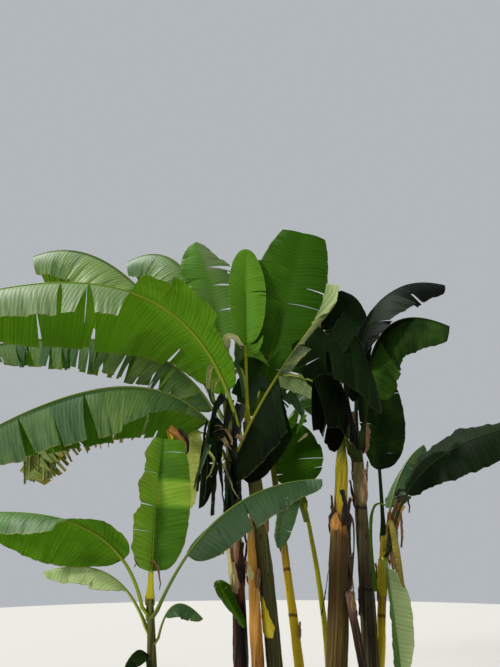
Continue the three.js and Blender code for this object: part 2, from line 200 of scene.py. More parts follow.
class Graph:
    """The node tree of one material."""

    def __init__(self, name: str) -> None:
        """Starts a material with an empty tree."""
        self.material = bpy.data.materials.new(name)
        self.material.use_nodes = True
        self.tree = self.material.node_tree
        self.tree.nodes.clear()

    def node(
        self, kind: str, settings: dict | None = None, inputs: dict | None = None, output: int | str = 0
    ) -> Value:
        """Adds a node, sets it and joins it up.

        Args:
            kind: The node's type.
            settings: Its own settings, such as a Math node's operation or a ramp's stops.
            inputs: The value or link of each socket, by name or number.
            output: The socket that the result comes from.

        Returns:
            The output, as a value to work on.
        """
        node = self.tree.nodes.new(kind)
        for key, value in (settings or {}).items():
            if key == "stops":
                self._set_stops(node, value)
            else:
                setattr(node, key, value)
        for key, value in (inputs or {}).items():
            if isinstance(value, Value):
                self.tree.links.new(value.socket, node.inputs[key])
            else:
                node.inputs[key].default_value = value
        return Value(self, node.outputs[output])

    @staticmethod
    def _set_stops(node: bpy.types.Node, stops: list[tuple[float, str]]) -> None:
        """Gives a ramp its places and colour codes."""
        elements = node.color_ramp.elements
        for i, (place, code) in enumerate(stops):
            element = elements[i] if i < 2 else elements.new(place)
            element.position = place
            element.color = linear(code)

    def mix(self, share: Value | float, first: object, second: object) -> Value:
        """Mixes two colours.

        Args:
            share: How much of the second.
            first: A colour code or a value.
            second: A colour code or a value.

        Returns:
            The mixed colour.
        """
        first, second = (linear(c) if isinstance(c, str) else c for c in (first, second))
        settings = {"data_type": "RGBA"}
        return self.node("ShaderNodeMix", settings, {0: share, 6: first, 7: second}, output=2)

    def noise(self, place: Value, scale: Place, detail: float = 3.0, rough: float = 0.55) -> Value:
        """A noise from 0 to 1 that is stretched by its scale along each axis."""
        mapped = self.node("ShaderNodeMapping", None, {"Vector": place, "Scale": scale})
        inputs = {"Vector": mapped, "Scale": 1.0, "Detail": detail, "Roughness": rough}
        return self.node("ShaderNodeTexNoise", None, inputs)

    def uv(self, layer: str) -> Value:
        """The piece's own map of that name."""
        return self.node("ShaderNodeUVMap", {"uv_map": layer})

    def axis(self, place: Value, number: int) -> Value:
        """One of a place's three numbers."""
        return self.node("ShaderNodeSeparateXYZ", None, {0: place}, output=number)

    def finish(
        self, colour: Value, rough: Value | float, height: Value, bump: float, through: float = 0.0,
        glow: object = None, gloss: float = 0.5,
    ) -> bpy.types.Material:
        """Ends the tree with a glossy surface that may let light through.

        Args:
            colour: The surface's colour.
            rough: Its roughness.
            height: The relief, in metres.
            bump: How strongly the relief shows.
            through: The share of the light that is let through rather than sent back.
            glow: The colour of the light let through.
            gloss: The strength of the highlights.

        Returns:
            The material.
        """
        normal = self.node(
            "ShaderNodeBump", None, {"Strength": bump, "Distance": 1.0, "Height": height}
        )
        surface = self.node(
            "ShaderNodeBsdfPrincipled", None,
            {"Base Color": colour, "Roughness": rough, "Normal": normal, "Specular IOR Level": gloss},
        )
        if through:
            lit = self.node("ShaderNodeBsdfTranslucent", None, {"Color": glow, "Normal": normal})
            surface = self.node("ShaderNodeMixShader", None, {0: through, 1: surface, 2: lit})
        out = self.tree.nodes.new("ShaderNodeOutputMaterial")
        self.tree.links.new(surface.socket, out.inputs["Surface"])
        return self.material


class Steady:
    """Random numbers that are the same for the same seed, by the rule of the solids."""

    def __init__(self, seed: int) -> None:
        """Starts from a whole number."""
        self.state = (seed * SEED_FACTOR + SEED_START) % STATES

    def __call__(self) -> float:
        """The next number, from 0 to 1."""
        self.state = (self.state * STATE_FACTOR + STATE_STEP) % STATES
        return self.state / STATES

    def between(self, low: float, high: float) -> float:
        """The next number, from low to high."""
        return low + (high - low) * self()


@dataclass(frozen=True)
class LeafFinish:
    """How a fresh leaf looks: its two faces, its veins, its torn rim and its midrib."""

    name: str
    slot: str
    top: tuple[str, str, str]
    under: tuple[str, str, str]
    glow: str
    rib: str
    rim: str = "6b5b2a"
    through: float = 0.3
    rough: float = 0.55
    gloss: float = 0.2
    veins: float = 0.5
    blotch: str = "8a7a3a"
    dried: float = 0.03

    def build(self) -> list[bpy.types.Material]:
        """Makes the materials of the upper face, the under face, the rim and the midrib."""
        return [
            self._face(f"{self.name}_top", self.top, self.rough, self.through * 0.5, self.gloss),
            self._face(f"{self.name}_under", self.under, self.rough + 0.15, self.through, 0.04),
            self._rim(),
            self._midrib(),
        ]

    def _face(
        self, name: str, tones: tuple[str, str, str], rough: float, through: float, gloss: float
    ) -> bpy.types.Material:
        """Makes one face of the blade: parallel veins, mottling and a drying edge.

        Args:
            name: The material's name.
            tones: Its colours in painted shade, plain, and pale as painted sunlight and sheen.
            rough: The roughness.
            through: The share of light that passes.
            gloss: The strength of the highlights.

        Returns:
            The material.
        """
        g = Graph(name)
        flat, share, tone = g.uv("flat"), g.uv("share"), g.uv("tone")
        along, across = g.axis(flat, 0), g.axis(flat, 1)
        drift = g.noise(flat, (9.0, 3.0, 1.0), 2.0)
        lean = along - across.abs() * 0.22 + drift * 0.012
        fine = (lean * (FULL_TURN / VEIN)).sin() * 0.5 + 0.5
        broad = ((lean * (FULL_TURN / BROAD_VEIN) + drift * 3.0).sin() * 0.5 + 0.5) ** 3.0
        sloped = g.node("ShaderNodeCombineXYZ", None, {0: lean, 1: across})
        stripes = g.noise(sloped, (160.0, 2.0, 1.0), 2.0)
        mottle = g.noise(flat, (6.0, 6.0, 1.0), 4.0)
        # Painted shade and sunlight: the tone map moves the face towards the shade colour or the pale
        # sunlit colour. Each strip's chance number and the mottling add real variation.
        painted_light_and_mottle_level = g.axis(tone, 0) + (g.axis(tone, 1) - 0.5) * 0.3 + (mottle - 0.5) * 0.5
        colour = g.mix(painted_light_and_mottle_level.ramp(0.0, 0.5), tones[0], tones[1])
        colour = g.mix(painted_light_and_mottle_level.ramp(0.5, 1.0), colour, tones[2])
        pale = (fine * 0.2 + broad * 0.5 + stripes.ramp(0.45, 0.75) * 0.6) * self.veins
        veined = g.node(
            "ShaderNodeHueSaturation", None, {"Value": 1.9, "Saturation": 0.82, "Color": colour})
        colour = g.mix(pale, colour, veined)
        deep = g.node("ShaderNodeHueSaturation", None, {"Value": 0.5, "Color": colour})
        colour = g.mix(stripes.ramp(0.5, 0.3) * 0.5, colour, deep)
        spots = g.noise(flat, (34.0, 26.0, 1.0), 4.0, 0.7)
        edge = g.axis(share, 1) + (spots - 0.5) * 0.14 + (stripes - 0.5) * self.dried
        dry = edge.ramp(1 - self.dried, 1.0) * 0.8 + spots.ramp(0.72, 0.8) * 0.5
        colour = g.mix(dry.ramp(0.0, 1.2), colour, self.blotch)
        height = fine * 0.0004 + broad * 0.0014 + mottle * 0.002
        rough_here = mottle * 0.2 + (rough - 0.1)
        return g.finish(colour, rough_here, height, 0.6, through, linear(self.glow), gloss)

    def _rim(self) -> bpy.types.Material:
        """Makes the thin dry rim of the blade."""
        g = Graph(f"{self.name}_rim")
        place = g.node("ShaderNodeTexCoord", None, None, output="Object")
        spots = g.noise(place, (40.0, 40.0, 40.0), 3.0)
        return g.finish(g.mix(spots.ramp(0.4, 0.65), self.rim, self.under[1]), 0.7, spots * 0.001, 0.3)

    def _midrib(self) -> bpy.types.Material:
        """Makes the stalk and midrib, with long fibres and a few bruises."""
        g = Graph(f"{self.name}_rib")
        flat = g.uv("flat")
        fibres = g.noise(flat, (4.0, 260.0, 1.0), 3.0)
        bruises = g.noise(flat, (14.0, 30.0, 1.0), 4.0, 0.65)
        colour = g.mix(fibres.ramp(0.35, 0.75) * 0.55, self.rib, self.top[1])
        colour = g.mix(bruises.ramp(0.62, 0.74) * 0.6, colour, self.blotch)
        return g.finish(colour, fibres * 0.2 + 0.4, fibres * 0.0015, 0.6, 0.0, None, self.gloss)


@dataclass(frozen=True)
class DryFinish:
    """How dead leaf and sheath look: papery, fibrous and streaked."""

    name: str
    slot: str
    pale: str
    deep: str
    stain: str
    stained: float = 0.5
    through: float = 0.12

    def build(self) -> list[bpy.types.Material]:
        """Makes one material, given four times for the four kinds of face."""
        g = Graph(self.name)
        flat = g.uv("flat")
        fibres = g.noise(flat, (220.0, 7.0, 1.0), 4.0, 0.65)
        cloud = g.noise(flat, (9.0, 5.0, 1.0), 4.0)
        colour = g.mix(fibres.ramp(0.38, 0.62), self.deep, self.pale)
        stains = cloud.ramp(0.62 - self.stained * 0.2, 0.72 - self.stained * 0.1)
        colour = g.mix(stains * 0.85, colour, self.stain)
        height = fibres * 0.0022 + cloud * 0.004
        made = g.finish(colour, 0.85 - fibres * 0.2, height, 0.8, self.through, linear(self.pale), 0.3)
        return [made] * 4


@dataclass(frozen=True)
class StemFinish:
    """How a pseudostem looks: colours by height, long streaks, stains and sheath edges."""

    name: str
    slot: str
    stops: tuple[tuple[float, str], ...]
    streak: str
    second: str
    stain: str
    streaks: float = 0.5
    stains: float = 0.5
    rough: float = 0.5
    rings: tuple[float, ...] = ()

    def build(self, height: float) -> bpy.types.Material:
        """Makes the material.

        Args:
            height: The stem's height in metres, which the colour stops are shares of.

        Returns:
            The material.
        """
        g = Graph(self.name)
        flat = g.uv("flat")
        wave = g.noise(flat, (2.2, 18.0, 1.0), 3.0)
        fibres = g.noise(flat, (5.0, 330.0, 1.0), 4.0, 0.6)
        bands = g.noise(flat, (0.9, 62.0, 1.0), 3.0, 0.6)
        others = g.noise(flat, (0.7, 41.0, 1.0), 3.0, 0.6)
        marks = g.noise(flat, (9.0, 26.0, 1.0), 5.0, 0.7)
        share = (g.axis(flat, 0) + (wave - 0.5) * 0.3) / height
        colour = g.node("ShaderNodeValToRGB", {"stops": list(self.stops)}, {"Fac": share})
        edge = 0.66 - self.streaks * 0.22
        colour = g.mix(others.ramp(edge, edge + 0.07) * 0.75, colour, self.second)
        colour = g.mix(bands.ramp(edge, edge + 0.07) * 0.8, colour, self.streak)
        stain = marks.ramp(0.68 - self.stains * 0.22, 0.74 - self.stains * 0.12)
        colour = g.mix(stain * 0.85, colour, self.stain)
        for ring in self.rings:
            near = (g.axis(flat, 0) + (wave - 0.5) * 0.04 - ring).abs()
            colour = g.mix(near.ramp(0.016, 0.007) * 0.85, colour, self.stain)
        tone = fibres.ramp(0.25, 0.7)
        deep = g.node("ShaderNodeHueSaturation", None, {"Value": 0.6, "Color": colour})
        colour = g.mix(tone * 0.45, deep, colour)
        relief = fibres * 0.0025 + bands * 0.004 + marks * 0.003
        return g.finish(colour, stain * 0.3 + self.rough, relief, 0.7, 0.0, None, 0.15)


class Look(Enum):
    """The named finishes of leaves."""

    # The top and under colours of each fresh look go from painted shade, through plain, to pale painted
    # sunlight and sheen.
    BRIGHT = LeafFinish(
        "leaf_bright", "leaf_bright", ("2a4806", "4d7a16", "6c7f4c"), ("355c00", "629200", "94b81e"),
        "a2d200", "7d8a1c", through=0.4)
    GREEN = LeafFinish(
        "leaf_green", "leaf_green", ("2a4420", "3c5c30", "708a3c"), ("2c5000", "4f8200", "80a414"),
        "8cc000", "6c7c2a", through=0.28)
    # Leaves that lie in shade: the shade is painted into these dim colours.
    SHADE = LeafFinish(
        "leaf_shade", "leaf_bright", ("1c3600", "305800", "507c0a"), ("244000", "3a6800", "5e8c00"),
        "68a000", "62740c", through=0.25, gloss=0.05, veins=0.3)
    YOUNG = LeafFinish(
        "leaf_young", "leaf_bright", ("3c6406", "5c8c10", "8aa82a"), ("4c7c00", "70a400", "9cc020"),
        "a8d800", "b4a81c", through=0.35, gloss=0.1, veins=0.35)
    # Its very pale top colour is painted sunlight and sheen.
    SUNLIT = LeafFinish(
        "leaf_sunlit", "leaf_bright", ("2e4c12", "4c7222", "b4c680"), ("335a00", "568400", "90b430"),
        "90c400", "9aa83c", through=0.3, veins=0.4)
    FRINGE = LeafFinish(
        "leaf_fringe", "leaf_green", ("3c5424", "5e7430", "8c9440"), ("446410", "748820", "9c9c30"),
        "98a41c", "8a7a34", through=0.25, blotch="8a6824", dried=0.3)
    # A folded leaf whose near half lies in deep shade: its near-black colours are painted shade and its
    # pale ones painted sunlight.
    FOLDED = LeafFinish(
        "leaf_folded", "leaf_dark", ("070f05", "15240c", "8a9444"), ("060c04", "14240a", "6e8024"),
        "4c6400", "7c7c24", rim="6a6a2a", through=0.08, gloss=0.02, veins=0.3, blotch="3c3c18")
    # Leaves in deep shade: the shade is painted into these near-black colours.
    DARK = LeafFinish(
        "leaf_dark", "leaf_dark", ("070f05", "15240c", "3c6018"), ("060c04", "14240a", "305008"),
        "2a5000", "2c3818", rim="2a2616", through=0.05, gloss=0.02, veins=0.3, blotch="2c2c14")
    SHEATH = DryFinish("leaf_sheath", "leaf_dry", "b4946a", "6a5030", "33261a")
    ORANGE = DryFinish("leaf_orange", "leaf_dry", "d49a4c", "8a5424", "4a2c18", 0.35, 0.15)
    STRAW = DryFinish("leaf_straw", "leaf_dry", "b3a148", "6f6a1c", "4c3820", 0.35, 0.2)
    YELLOW = DryFinish("leaf_yellow", "leaf_dry", "e4cc34", "b4a418", "8a6420", 0.15, 0.25)
    PALE = DryFinish("leaf_pale", "leaf_dry", "c8cc6c", "90a038", "7c7a38", 0.2, 0.3)
    BROWN = DryFinish("leaf_brown", "leaf_dry", "4f3826", "1d1410", "0e0a08", 0.7, 0.05)
    CREAM = DryFinish("leaf_cream", "leaf_dry", "d8cf9a", "a9a862", "6d6a38", 0.2, 0.2)
    HULL = DryFinish("leaf_hull", "leaf_dark", "1d2a16", "0a100a", "2a2214", 0.3, 0.03)


Materials = dict[Look, list[bpy.types.Material]]


def level(heading: np.ndarray | float) -> np.ndarray:
    """Turns compass headings in degrees into level directions."""
    turn = np.radians(heading)
    return np.stack([np.cos(turn), np.sin(turn), np.zeros_like(turn)], axis=-1)


def spread(values: Line, share: np.ndarray) -> np.ndarray:
    """Reads values that are spread evenly, or (place, value) pairs, at shares from 0 to 1."""
    if isinstance(values[0], tuple):
        places, values = zip(*values)
        return np.interp(share, places, values)
    return np.interp(share, np.linspace(0.0, 1.0, len(values)), values)


def unit(vectors: np.ndarray) -> np.ndarray:
    """Gives vectors a length of one."""
    return vectors / np.maximum(np.linalg.norm(vectors, axis=-1, keepdims=True), 1e-9)


def smooth(values: np.ndarray) -> np.ndarray:
    """Goes smoothly from 0 to 1 while the values do, and stays there."""
    x = np.clip(values, 0.0, 1.0)
    return x * x * (3 - 2 * x)


def own_noise(seed: int, places: np.ndarray, waves: float) -> np.ndarray:
    """A smooth wandering line, from about -1 to 1, made of sines.

    Args:
        seed: Which line.
        places: Where to read it.
        waves: How many waves it has for each unit of place.

    Returns:
        Its values.
    """
    chance = Steady(seed)
    total = np.zeros_like(places)
    for k in (1.0, 1.83, 3.1, 5.3):
        total += np.sin(places * waves * k * FULL_TURN + chance.between(0, 6.28)) / (1 + k)
    return total * 0.85


class Sheet:
    """A grid of faces in one bmesh that is bent into a thin closed shape."""

    def __init__(self) -> None:
        """Starts an empty shape with its two maps."""
        self.bm = bmesh.new()
        self.flat = self.bm.loops.layers.uv.new("flat")
        self.share = self.bm.loops.layers.uv.new("share")
        self.tone = self.bm.loops.layers.uv.new("tone")

    def grid(self, columns: int, rows: int) -> tuple[list[bmesh.types.BMVert], np.ndarray]:
        """Adds a flat grid.

        Args:
            columns: How many faces along.
            rows: How many faces across.

        Returns:
            Its vertices, and for each its column and row number.
        """
        made = bmesh.ops.create_grid(self.bm, x_segments=columns, y_segments=rows, size=0.5)["verts"]
        places = np.array([v.co[:2] for v in made])
        numbers = np.rint((places + 0.5) * (columns, rows)).astype(int)
        return made, numbers

    def place(
        self, verts: list[bmesh.types.BMVert], points: np.ndarray, flat: np.ndarray,
        share: np.ndarray, tone: np.ndarray | None = None,
    ) -> None:
        """Moves vertices to their points, and writes the three maps.

        Args:
            verts: The vertices.
            points: Their places in metres.
            flat: Each one's place on the flattened surface, in metres.
            share: Each one's place as two shares from 0 to 1.
            tone: How pale it is there, from 0 to 1, which is painted shade below a half and painted
            sunlight above it, and a chance number for its strip.
        """
        index = {}
        for i, vert in enumerate(verts):
            vert.co = points[i]
            index[vert] = i
        for face in {f for v in verts for f in v.link_faces}:
            for loop in face.loops:
                i = index[loop.vert]
                loop[self.flat].uv = flat[i]
                loop[self.share].uv = share[i]
                loop[self.tone].uv = (0.5, 0.5) if tone is None else tone[i]

    def thicken(self, thickness: float, under: int | None = None, rim: int | None = None) -> None:
        """Raises a copy of the surface off the first one, and joins the two all round.

        Args:
            thickness: In metres.
            under: The first surface's material, or None to leave it.
            rim: The material all round, or None to leave it.
        """
        self.bm.normal_update()
        lower = set(self.bm.faces)
        lifts = {v.co.to_tuple(): v.normal * thickness for v in self.bm.verts}
        made = bmesh.ops.extrude_face_region(self.bm, geom=list(lower))["geom"]
        upper = {g for g in made if isinstance(g, bmesh.types.BMFace)}
        for vert in (g for g in made if isinstance(g, bmesh.types.BMVert)):
            vert.co += lifts[vert.co.to_tuple()]
        for face in self.bm.faces:
            if face in lower:
                face.material_index = face.material_index if under is None else under
            elif face not in upper:
                face.material_index = face.material_index if rim is None else rim
                for edge in face.edges:
                    edge.smooth = False

    def tube(self, rings: np.ndarray, flat: np.ndarray, material: int) -> None:
        """Adds a tube through rings of points, closed at both ends.

        Args:
            rings: The points, as ring by point round it by three.
            flat: The map of each, as ring by point by two.
            material: The faces' material.
        """
        count, sides = rings.shape[:2]
        verts, numbers = self.grid(count - 1, sides)
        ring, side = numbers[:, 0], numbers[:, 1]
        points = rings[ring, side % sides]
        maps = np.stack([flat[ring, side % sides, 0], flat[ring, side % sides, 1]], axis=-1)
        width = flat[:, 1, 1] - flat[:, 0, 1]
        maps[:, 1] = np.where(side == sides, flat[ring, sides - 1, 1] + width[ring], maps[:, 1])
        self.place(verts, points, maps, np.stack([ring / count, side / sides], axis=-1))
        for face in {f for v in verts for f in v.link_faces}:
            face.material_index = material
        seam = [v for v, s in zip(verts, side) if s in (0, sides)]
        bmesh.ops.remove_doubles(self.bm, verts=seam, dist=1e-6)
        live = [v for v in verts if v.is_valid]
        edges = {e for v in live for e in v.link_edges if e.is_boundary}
        made = bmesh.ops.holes_fill(self.bm, edges=list(edges), sides=sides)
        for face in made["faces"]:
            face.material_index = material
            for edge in face.edges:
                edge.smooth = False

    def finish(
        self, name: str, materials: list[bpy.types.Material], turn: bool = False
    ) -> bpy.types.Object:
        """Ends the shape as a smooth object.

        Args:
            name: The object's name.
            materials: Its materials, by face number.
            turn: Whether the faces are turned to point outwards first.

        Returns:
            The object.
        """
        if turn:
            bmesh.ops.recalc_face_normals(self.bm, faces=self.bm.faces[:])
        for face in self.bm.faces:
            face.smooth = True
        mesh = bpy.data.meshes.new(name)
        self.bm.to_mesh(mesh)
        self.bm.free()
        for material in materials:
            mesh.materials.append(material)
        made = bpy.data.objects.new(name, mesh)
        bpy.context.scene.collection.objects.link(made)
        return made


@dataclass
class Stem:
    """A leaning pseudostem, turned round an axis that is moved sideways by its lean."""

    name: str
    foot: tuple[float, float]
    top: tuple[float, float]
    height: float
    bow: float
    profile: tuple[tuple[float, float], ...]
    finish: StemFinish
    ridge: float = 3.0
    sheaths: int = 3
    ragged: float = 8.0

    def axis(self, height: np.ndarray | float) -> np.ndarray:
        """The middle of the stem at heights in millimetres."""
        height = np.asarray(height, dtype=float)
        share = (np.maximum(height, 0) / self.height) ** self.bow
        x = self.foot[0] + (self.top[0] - self.foot[0]) * share
        y = self.foot[1] + (self.top[1] - self.foot[1]) * share
        return np.stack([x, y, height], axis=-1)

    def radius(self, height: np.ndarray | float) -> np.ndarray:
        """The stem's radius at heights, foot flare included."""
        heights, radii = zip(*self.profile)
        plain = np.interp(height, heights, radii)
        flare = np.maximum(0, 1 - np.asarray(height) / FLARE_HEIGHT)
        return plain * (1 + (FOOT_FLARE - 1) * flare * flare)

    def build(self, seed: int) -> bpy.types.Object:
        """Makes the stem with the steps of its overlapping sheaths.

        Args:
            seed: Where its random numbers start.

        Returns:
            The stem.
        """
        chance = Steady(seed + 400)
        heights = np.linspace(0, self.height, int(self.height / STEM_STEP) + 1)
        turns = np.arange(STEM_SIDES) / STEM_SIDES
        h, t = np.meshgrid(heights, turns, indexing="ij")
        relief = np.zeros_like(h)
        for k in range(self.sheaths):
            pitch = chance.between(*SHEATH_PITCH)
            edge = (t + h / pitch * (1 if k % 2 else -1) + chance()) % 1.0
            relief += self.ridge * (0.5 - edge) * np.clip(h / 200, 0.25, 1)
            relief += self.ridge * 0.7 * np.exp(-((edge - 0.03) / 0.02) ** 2)
        relief += 1.2 * np.sin(t * FULL_TURN * 3 + own_noise(seed, h / 1000, 1.2) * 3)
        relief += 0.8 * own_noise(seed + 1, h / 1000 + t * 3, 6.0)
        radius = self.radius(h) + relief
        top_wave = self.ragged * own_noise(seed + 2, t * 2, 1.5) * smooth((h / self.height - 0.9) * 10)
        points = self.axis(h) + level(t * 360) * radius[..., None]
        points[..., 2] += top_wave
        points[..., 2] = np.maximum(points[..., 2], 0)
        flat = np.stack([h, t * self.radius(h) * FULL_TURN], axis=-1)
        sheet = Sheet()
        sheet.tube(points * MM, flat * MM, 0)
        piece = sheet.finish(f"pseudostem_{self.name}", [self.finish.build(self.height * MM)], turn=True)
        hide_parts(f"stem_{self.name}")
        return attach(piece, "root")


@dataclass
class Leaf:
    """A leaf: a stalk that becomes the midrib, and a torn, drooping half blade on each side.

    crest and tip are heading, reach and rise from the middle of the stem. left and right are tilts
    above the sideways direction along the blade, hang is added pull straight down, and reach is each
    half's width as a share of the plain outline's. tears are those of the solid, cut to the rib, with
    gaps at the edge as shares of the blade's length. rips are finer ones, which start at a share deep
    of the way out and open by a share split. fray is how unevenly the strips between them end, and
    slack how differently they hang, in degrees. tones tell how pale each half is along the blade:
    below a half is painted shade, and above it is painted sunlight and sheen.
    """

    name: str
    stem: str
    at: float
    crest: Place
    tip: Place
    width: float
    stalk: float
    left: Line
    right: Line
    tears: tuple[Tears, Tears]
    look: Look
    hang: Line = (0.0, 0.0)
    reach: tuple[Line, Line] = ((1.0, 1.0), (1.0, 1.0))
    facing: float | Line | None = None
    lost: float = 0.0
    blunt: float = 0.45
    parted: bool = False
    rips: tuple[int, int] = (2, 2)
    deep: tuple[float, float] = (0.12, 0.75)
    gaps: tuple[float, float] = (0.016, 0.016)
    tones: tuple[Line, Line] = ((0.5, 0.5), (0.5, 0.5))
    split: tuple[float, float] = (0.002, 0.008)
    fray: float = 0.05
    slack: float = 8.0
    arch: tuple[float, float] = (0.05, 0.05)
    ruffle: float = 9.0
    seed: int = 0

    def build(self, stems: dict[str, Stem], materials: Materials) -> bpy.types.Object:
        """Makes the leaf where its solid is.

        Args:
            stems: The stems by name.
            materials: The materials of each look.

        Returns:
            The leaf.
        """
        self._set_curve(stems[self.stem])
        sheet = Sheet()
        self._add_blade(sheet)
        sheet.thicken(BLADE_THICKNESS, 1, 2)
        self._add_rib(sheet)
        piece = sheet.finish(f"{self.name}_blade", materials[self.look])
        nodes = [self.name + part for part in ("_inner", "_outer")] if self.parted else [self.name]
        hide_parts(*nodes)
        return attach(piece, "root")

    def _set_curve(self, stem: Stem) -> None:
        """Works out the midrib's points by length, as the solids do."""
        self.stalk_radius = 9 + self.width * 0.016
        axis = stem.axis(self.at)
        crest, tip = (level(p[0]) * p[1] + UP * p[2] + axis for p in (self.crest, self.tip))
        control = crest * 2 - (axis + tip) * 0.5
        way = control - axis
        out = unit(way * (1, 1, 0))
        lean = abs(unit(way)[2])
        beside = 0.0
        if self.at <= stem.height:
            beside = float(stem.radius(self.at)) + self.stalk_radius * 1.15 * lean + STALK_CLEAR
        root = axis + out * beside
        t = np.linspace(0, 1, CURVE_STEPS + 1)[:, None]
        self.points = root * (1 - t) ** 2 + control * (2 * t * (1 - t)) + tip * t ** 2
        self.ways = unit((control - root) * (1 - t) + (tip - control) * t)
        steps = np.linalg.norm(np.diff(self.points, axis=0), axis=1)
        self.lengths = np.concatenate([[0], np.cumsum(steps)])
        self.length = float(self.lengths[-1])
        self.into = axis - root

    def _frame(self, share: np.ndarray) -> tuple[np.ndarray, np.ndarray, np.ndarray, np.ndarray]:
        """The midrib's place, direction, right-hand side and upper side at shares of its length."""
        where = share * self.length
        place = np.stack([np.interp(where, self.lengths, self.points[:, k]) for k in range(3)], -1)
        ahead = unit(np.stack([np.interp(where, self.lengths, self.ways[:, k]) for k in range(3)], -1))
        facing = self.tip[0] if self.facing is None else self.facing
        turn = spread(facing, share) if isinstance(facing, tuple) else np.full_like(share, facing)
        side = np.cross(level(turn), UP)
        side = unit(side - ahead * np.sum(side * ahead, axis=-1, keepdims=True))
        return place, ahead, side, np.cross(side, ahead)

    def _open(self, along: np.ndarray) -> np.ndarray:
        """The half blade's width along it, as a share of its widest."""
        inner = np.clip(along, 0, 1) * (1 - self.lost)
        return np.maximum(np.sin(math.pi * inner ** OUTLINE_SKEW), 0) ** self.blunt

    def _cuts(self) -> list[list[tuple[float, float, float]]]:
        """The tears of each half: place along the blade, where across it starts, and gap at the edge."""
        source = Steady(self.seed)
        finer = Steady(self.seed + 90)
        found = []
        for tears, rips, wide in zip(self.tears, self.rips, self.gaps):
            if isinstance(tears, int):
                step = (LAST_TEAR - FIRST_TEAR) / (tears + 1)
                tears = [FIRST_TEAR + step * (i + 1 + (source() - 0.5) * 2 * TEAR_JITTER)
                         for i in range(tears)]
            cuts = [(place, TEAR_START, wide * finer.between(0.7, 1.3)) for place in tears]
            for i in range(rips):
                place = 0.05 + 0.9 * (i + finer.between(0.15, 0.85)) / rips
                if all(abs(place - cut[0]) > TEAR_MARGIN for cut in cuts):
                    cuts.append((place, finer.between(*self.deep), finer.between(*self.split)))
            found.append(sorted(cuts))
        return found

    def _add_blade(self, sheet: Sheet) -> None:
        """Adds both half blades as one torn grid, its normals on the upper side."""
        cuts = self._cuts()
        blade = self.length * (1 - self.stalk)
        even = np.linspace(0, 1, int(np.clip(blade / BLADE_STEP, *BLADE_STEPS)) + 1)
        pairs = [c[0] + d for side in cuts for c in side for d in (-TEAR_LINE, TEAR_LINE)]
        columns = np.array(sorted([*even, *pairs]))
        verts, numbers = sheet.grid(len(columns) - 1, ROWS_A_HALF * 2)
        along = columns[numbers[:, 0]]
        rows = (numbers[:, 1] - ROWS_A_HALF) / ROWS_A_HALF
        across = np.abs(rows) ** ROW_SPREAD
        points = np.zeros((len(verts), 3))
        flat, share, tone = (np.zeros((len(verts), 2)) for _ in range(3))
        index = {vert: i for i, vert in enumerate(verts)}
        torn = []
        for hand, side_cuts in ((-1, cuts[0]), (1, cuts[1])):
            mine = rows * hand <= 0
            where = self._half(along[mine], across[mine], hand, side_cuts)
            points[mine], flat[mine], share[mine], tone[mine] = where
            for place, start, _ in side_cuts:
                torn.append((hand, place, start))
        for face in sheet.bm.faces:
            ids = [index[v] for v in face.verts]
            middle, row = along[ids].mean(), rows[ids].mean()
            if any(abs(middle - a) < TEAR_LINE / 2 and row * hand < 0 and abs(row) > start
                   for hand, a, start in torn):
                face.tag = True
        sheet.place(verts, points * MM, flat * MM, share, tone)
        bmesh.ops.delete(sheet.bm, geom=[f for f in sheet.bm.faces if f.tag], context="FACES")

    def _half(
        self, along: np.ndarray, across: np.ndarray, hand: int, cuts: list[tuple[float, float, float]]
    ) -> tuple[np.ndarray, np.ndarray, np.ndarray, np.ndarray]:
        """Bends one half blade: strips drawn apart at the tears, each with its own droop.

        Args:
            along: Each point's share of the blade's length.
            across: Its share of the way from the rib to the edge.
            hand: 1 for the right half, looking out along the leaf, and -1 for the left.
            cuts: The tears of this half.

        Returns:
            The points in millimetres, their flat map, their shares and their tones.
        """
        side_number = int(hand > 0)
        tilts = self.right if side_number else self.left
        arch = self.arch[side_number]
        chance = Steady(self.seed * 2 + side_number + 200)
        bounds = [(0.0, 1.0, 0.0), *cuts, (1.0, 1.0, 0.0)]
        strip = np.searchsorted([c[0] for c in cuts], along)
        low = np.array([b[0] for b in bounds])[strip]
        high = np.array([b[0] for b in bounds])[strip + 1]
        opens = [np.array([b[k] for b in bounds]) for k in (1, 2)]

        def gap(number: np.ndarray) -> np.ndarray:
            """Half the opening of a tear, which widens from its inner end to the edge."""
            start, wide = opens[0][number], opens[1][number]
            out = np.clip((across - start) / np.maximum(1 - start, 0.01), 0, 1)
            return wide / 2 * out ** GAP_CURVE

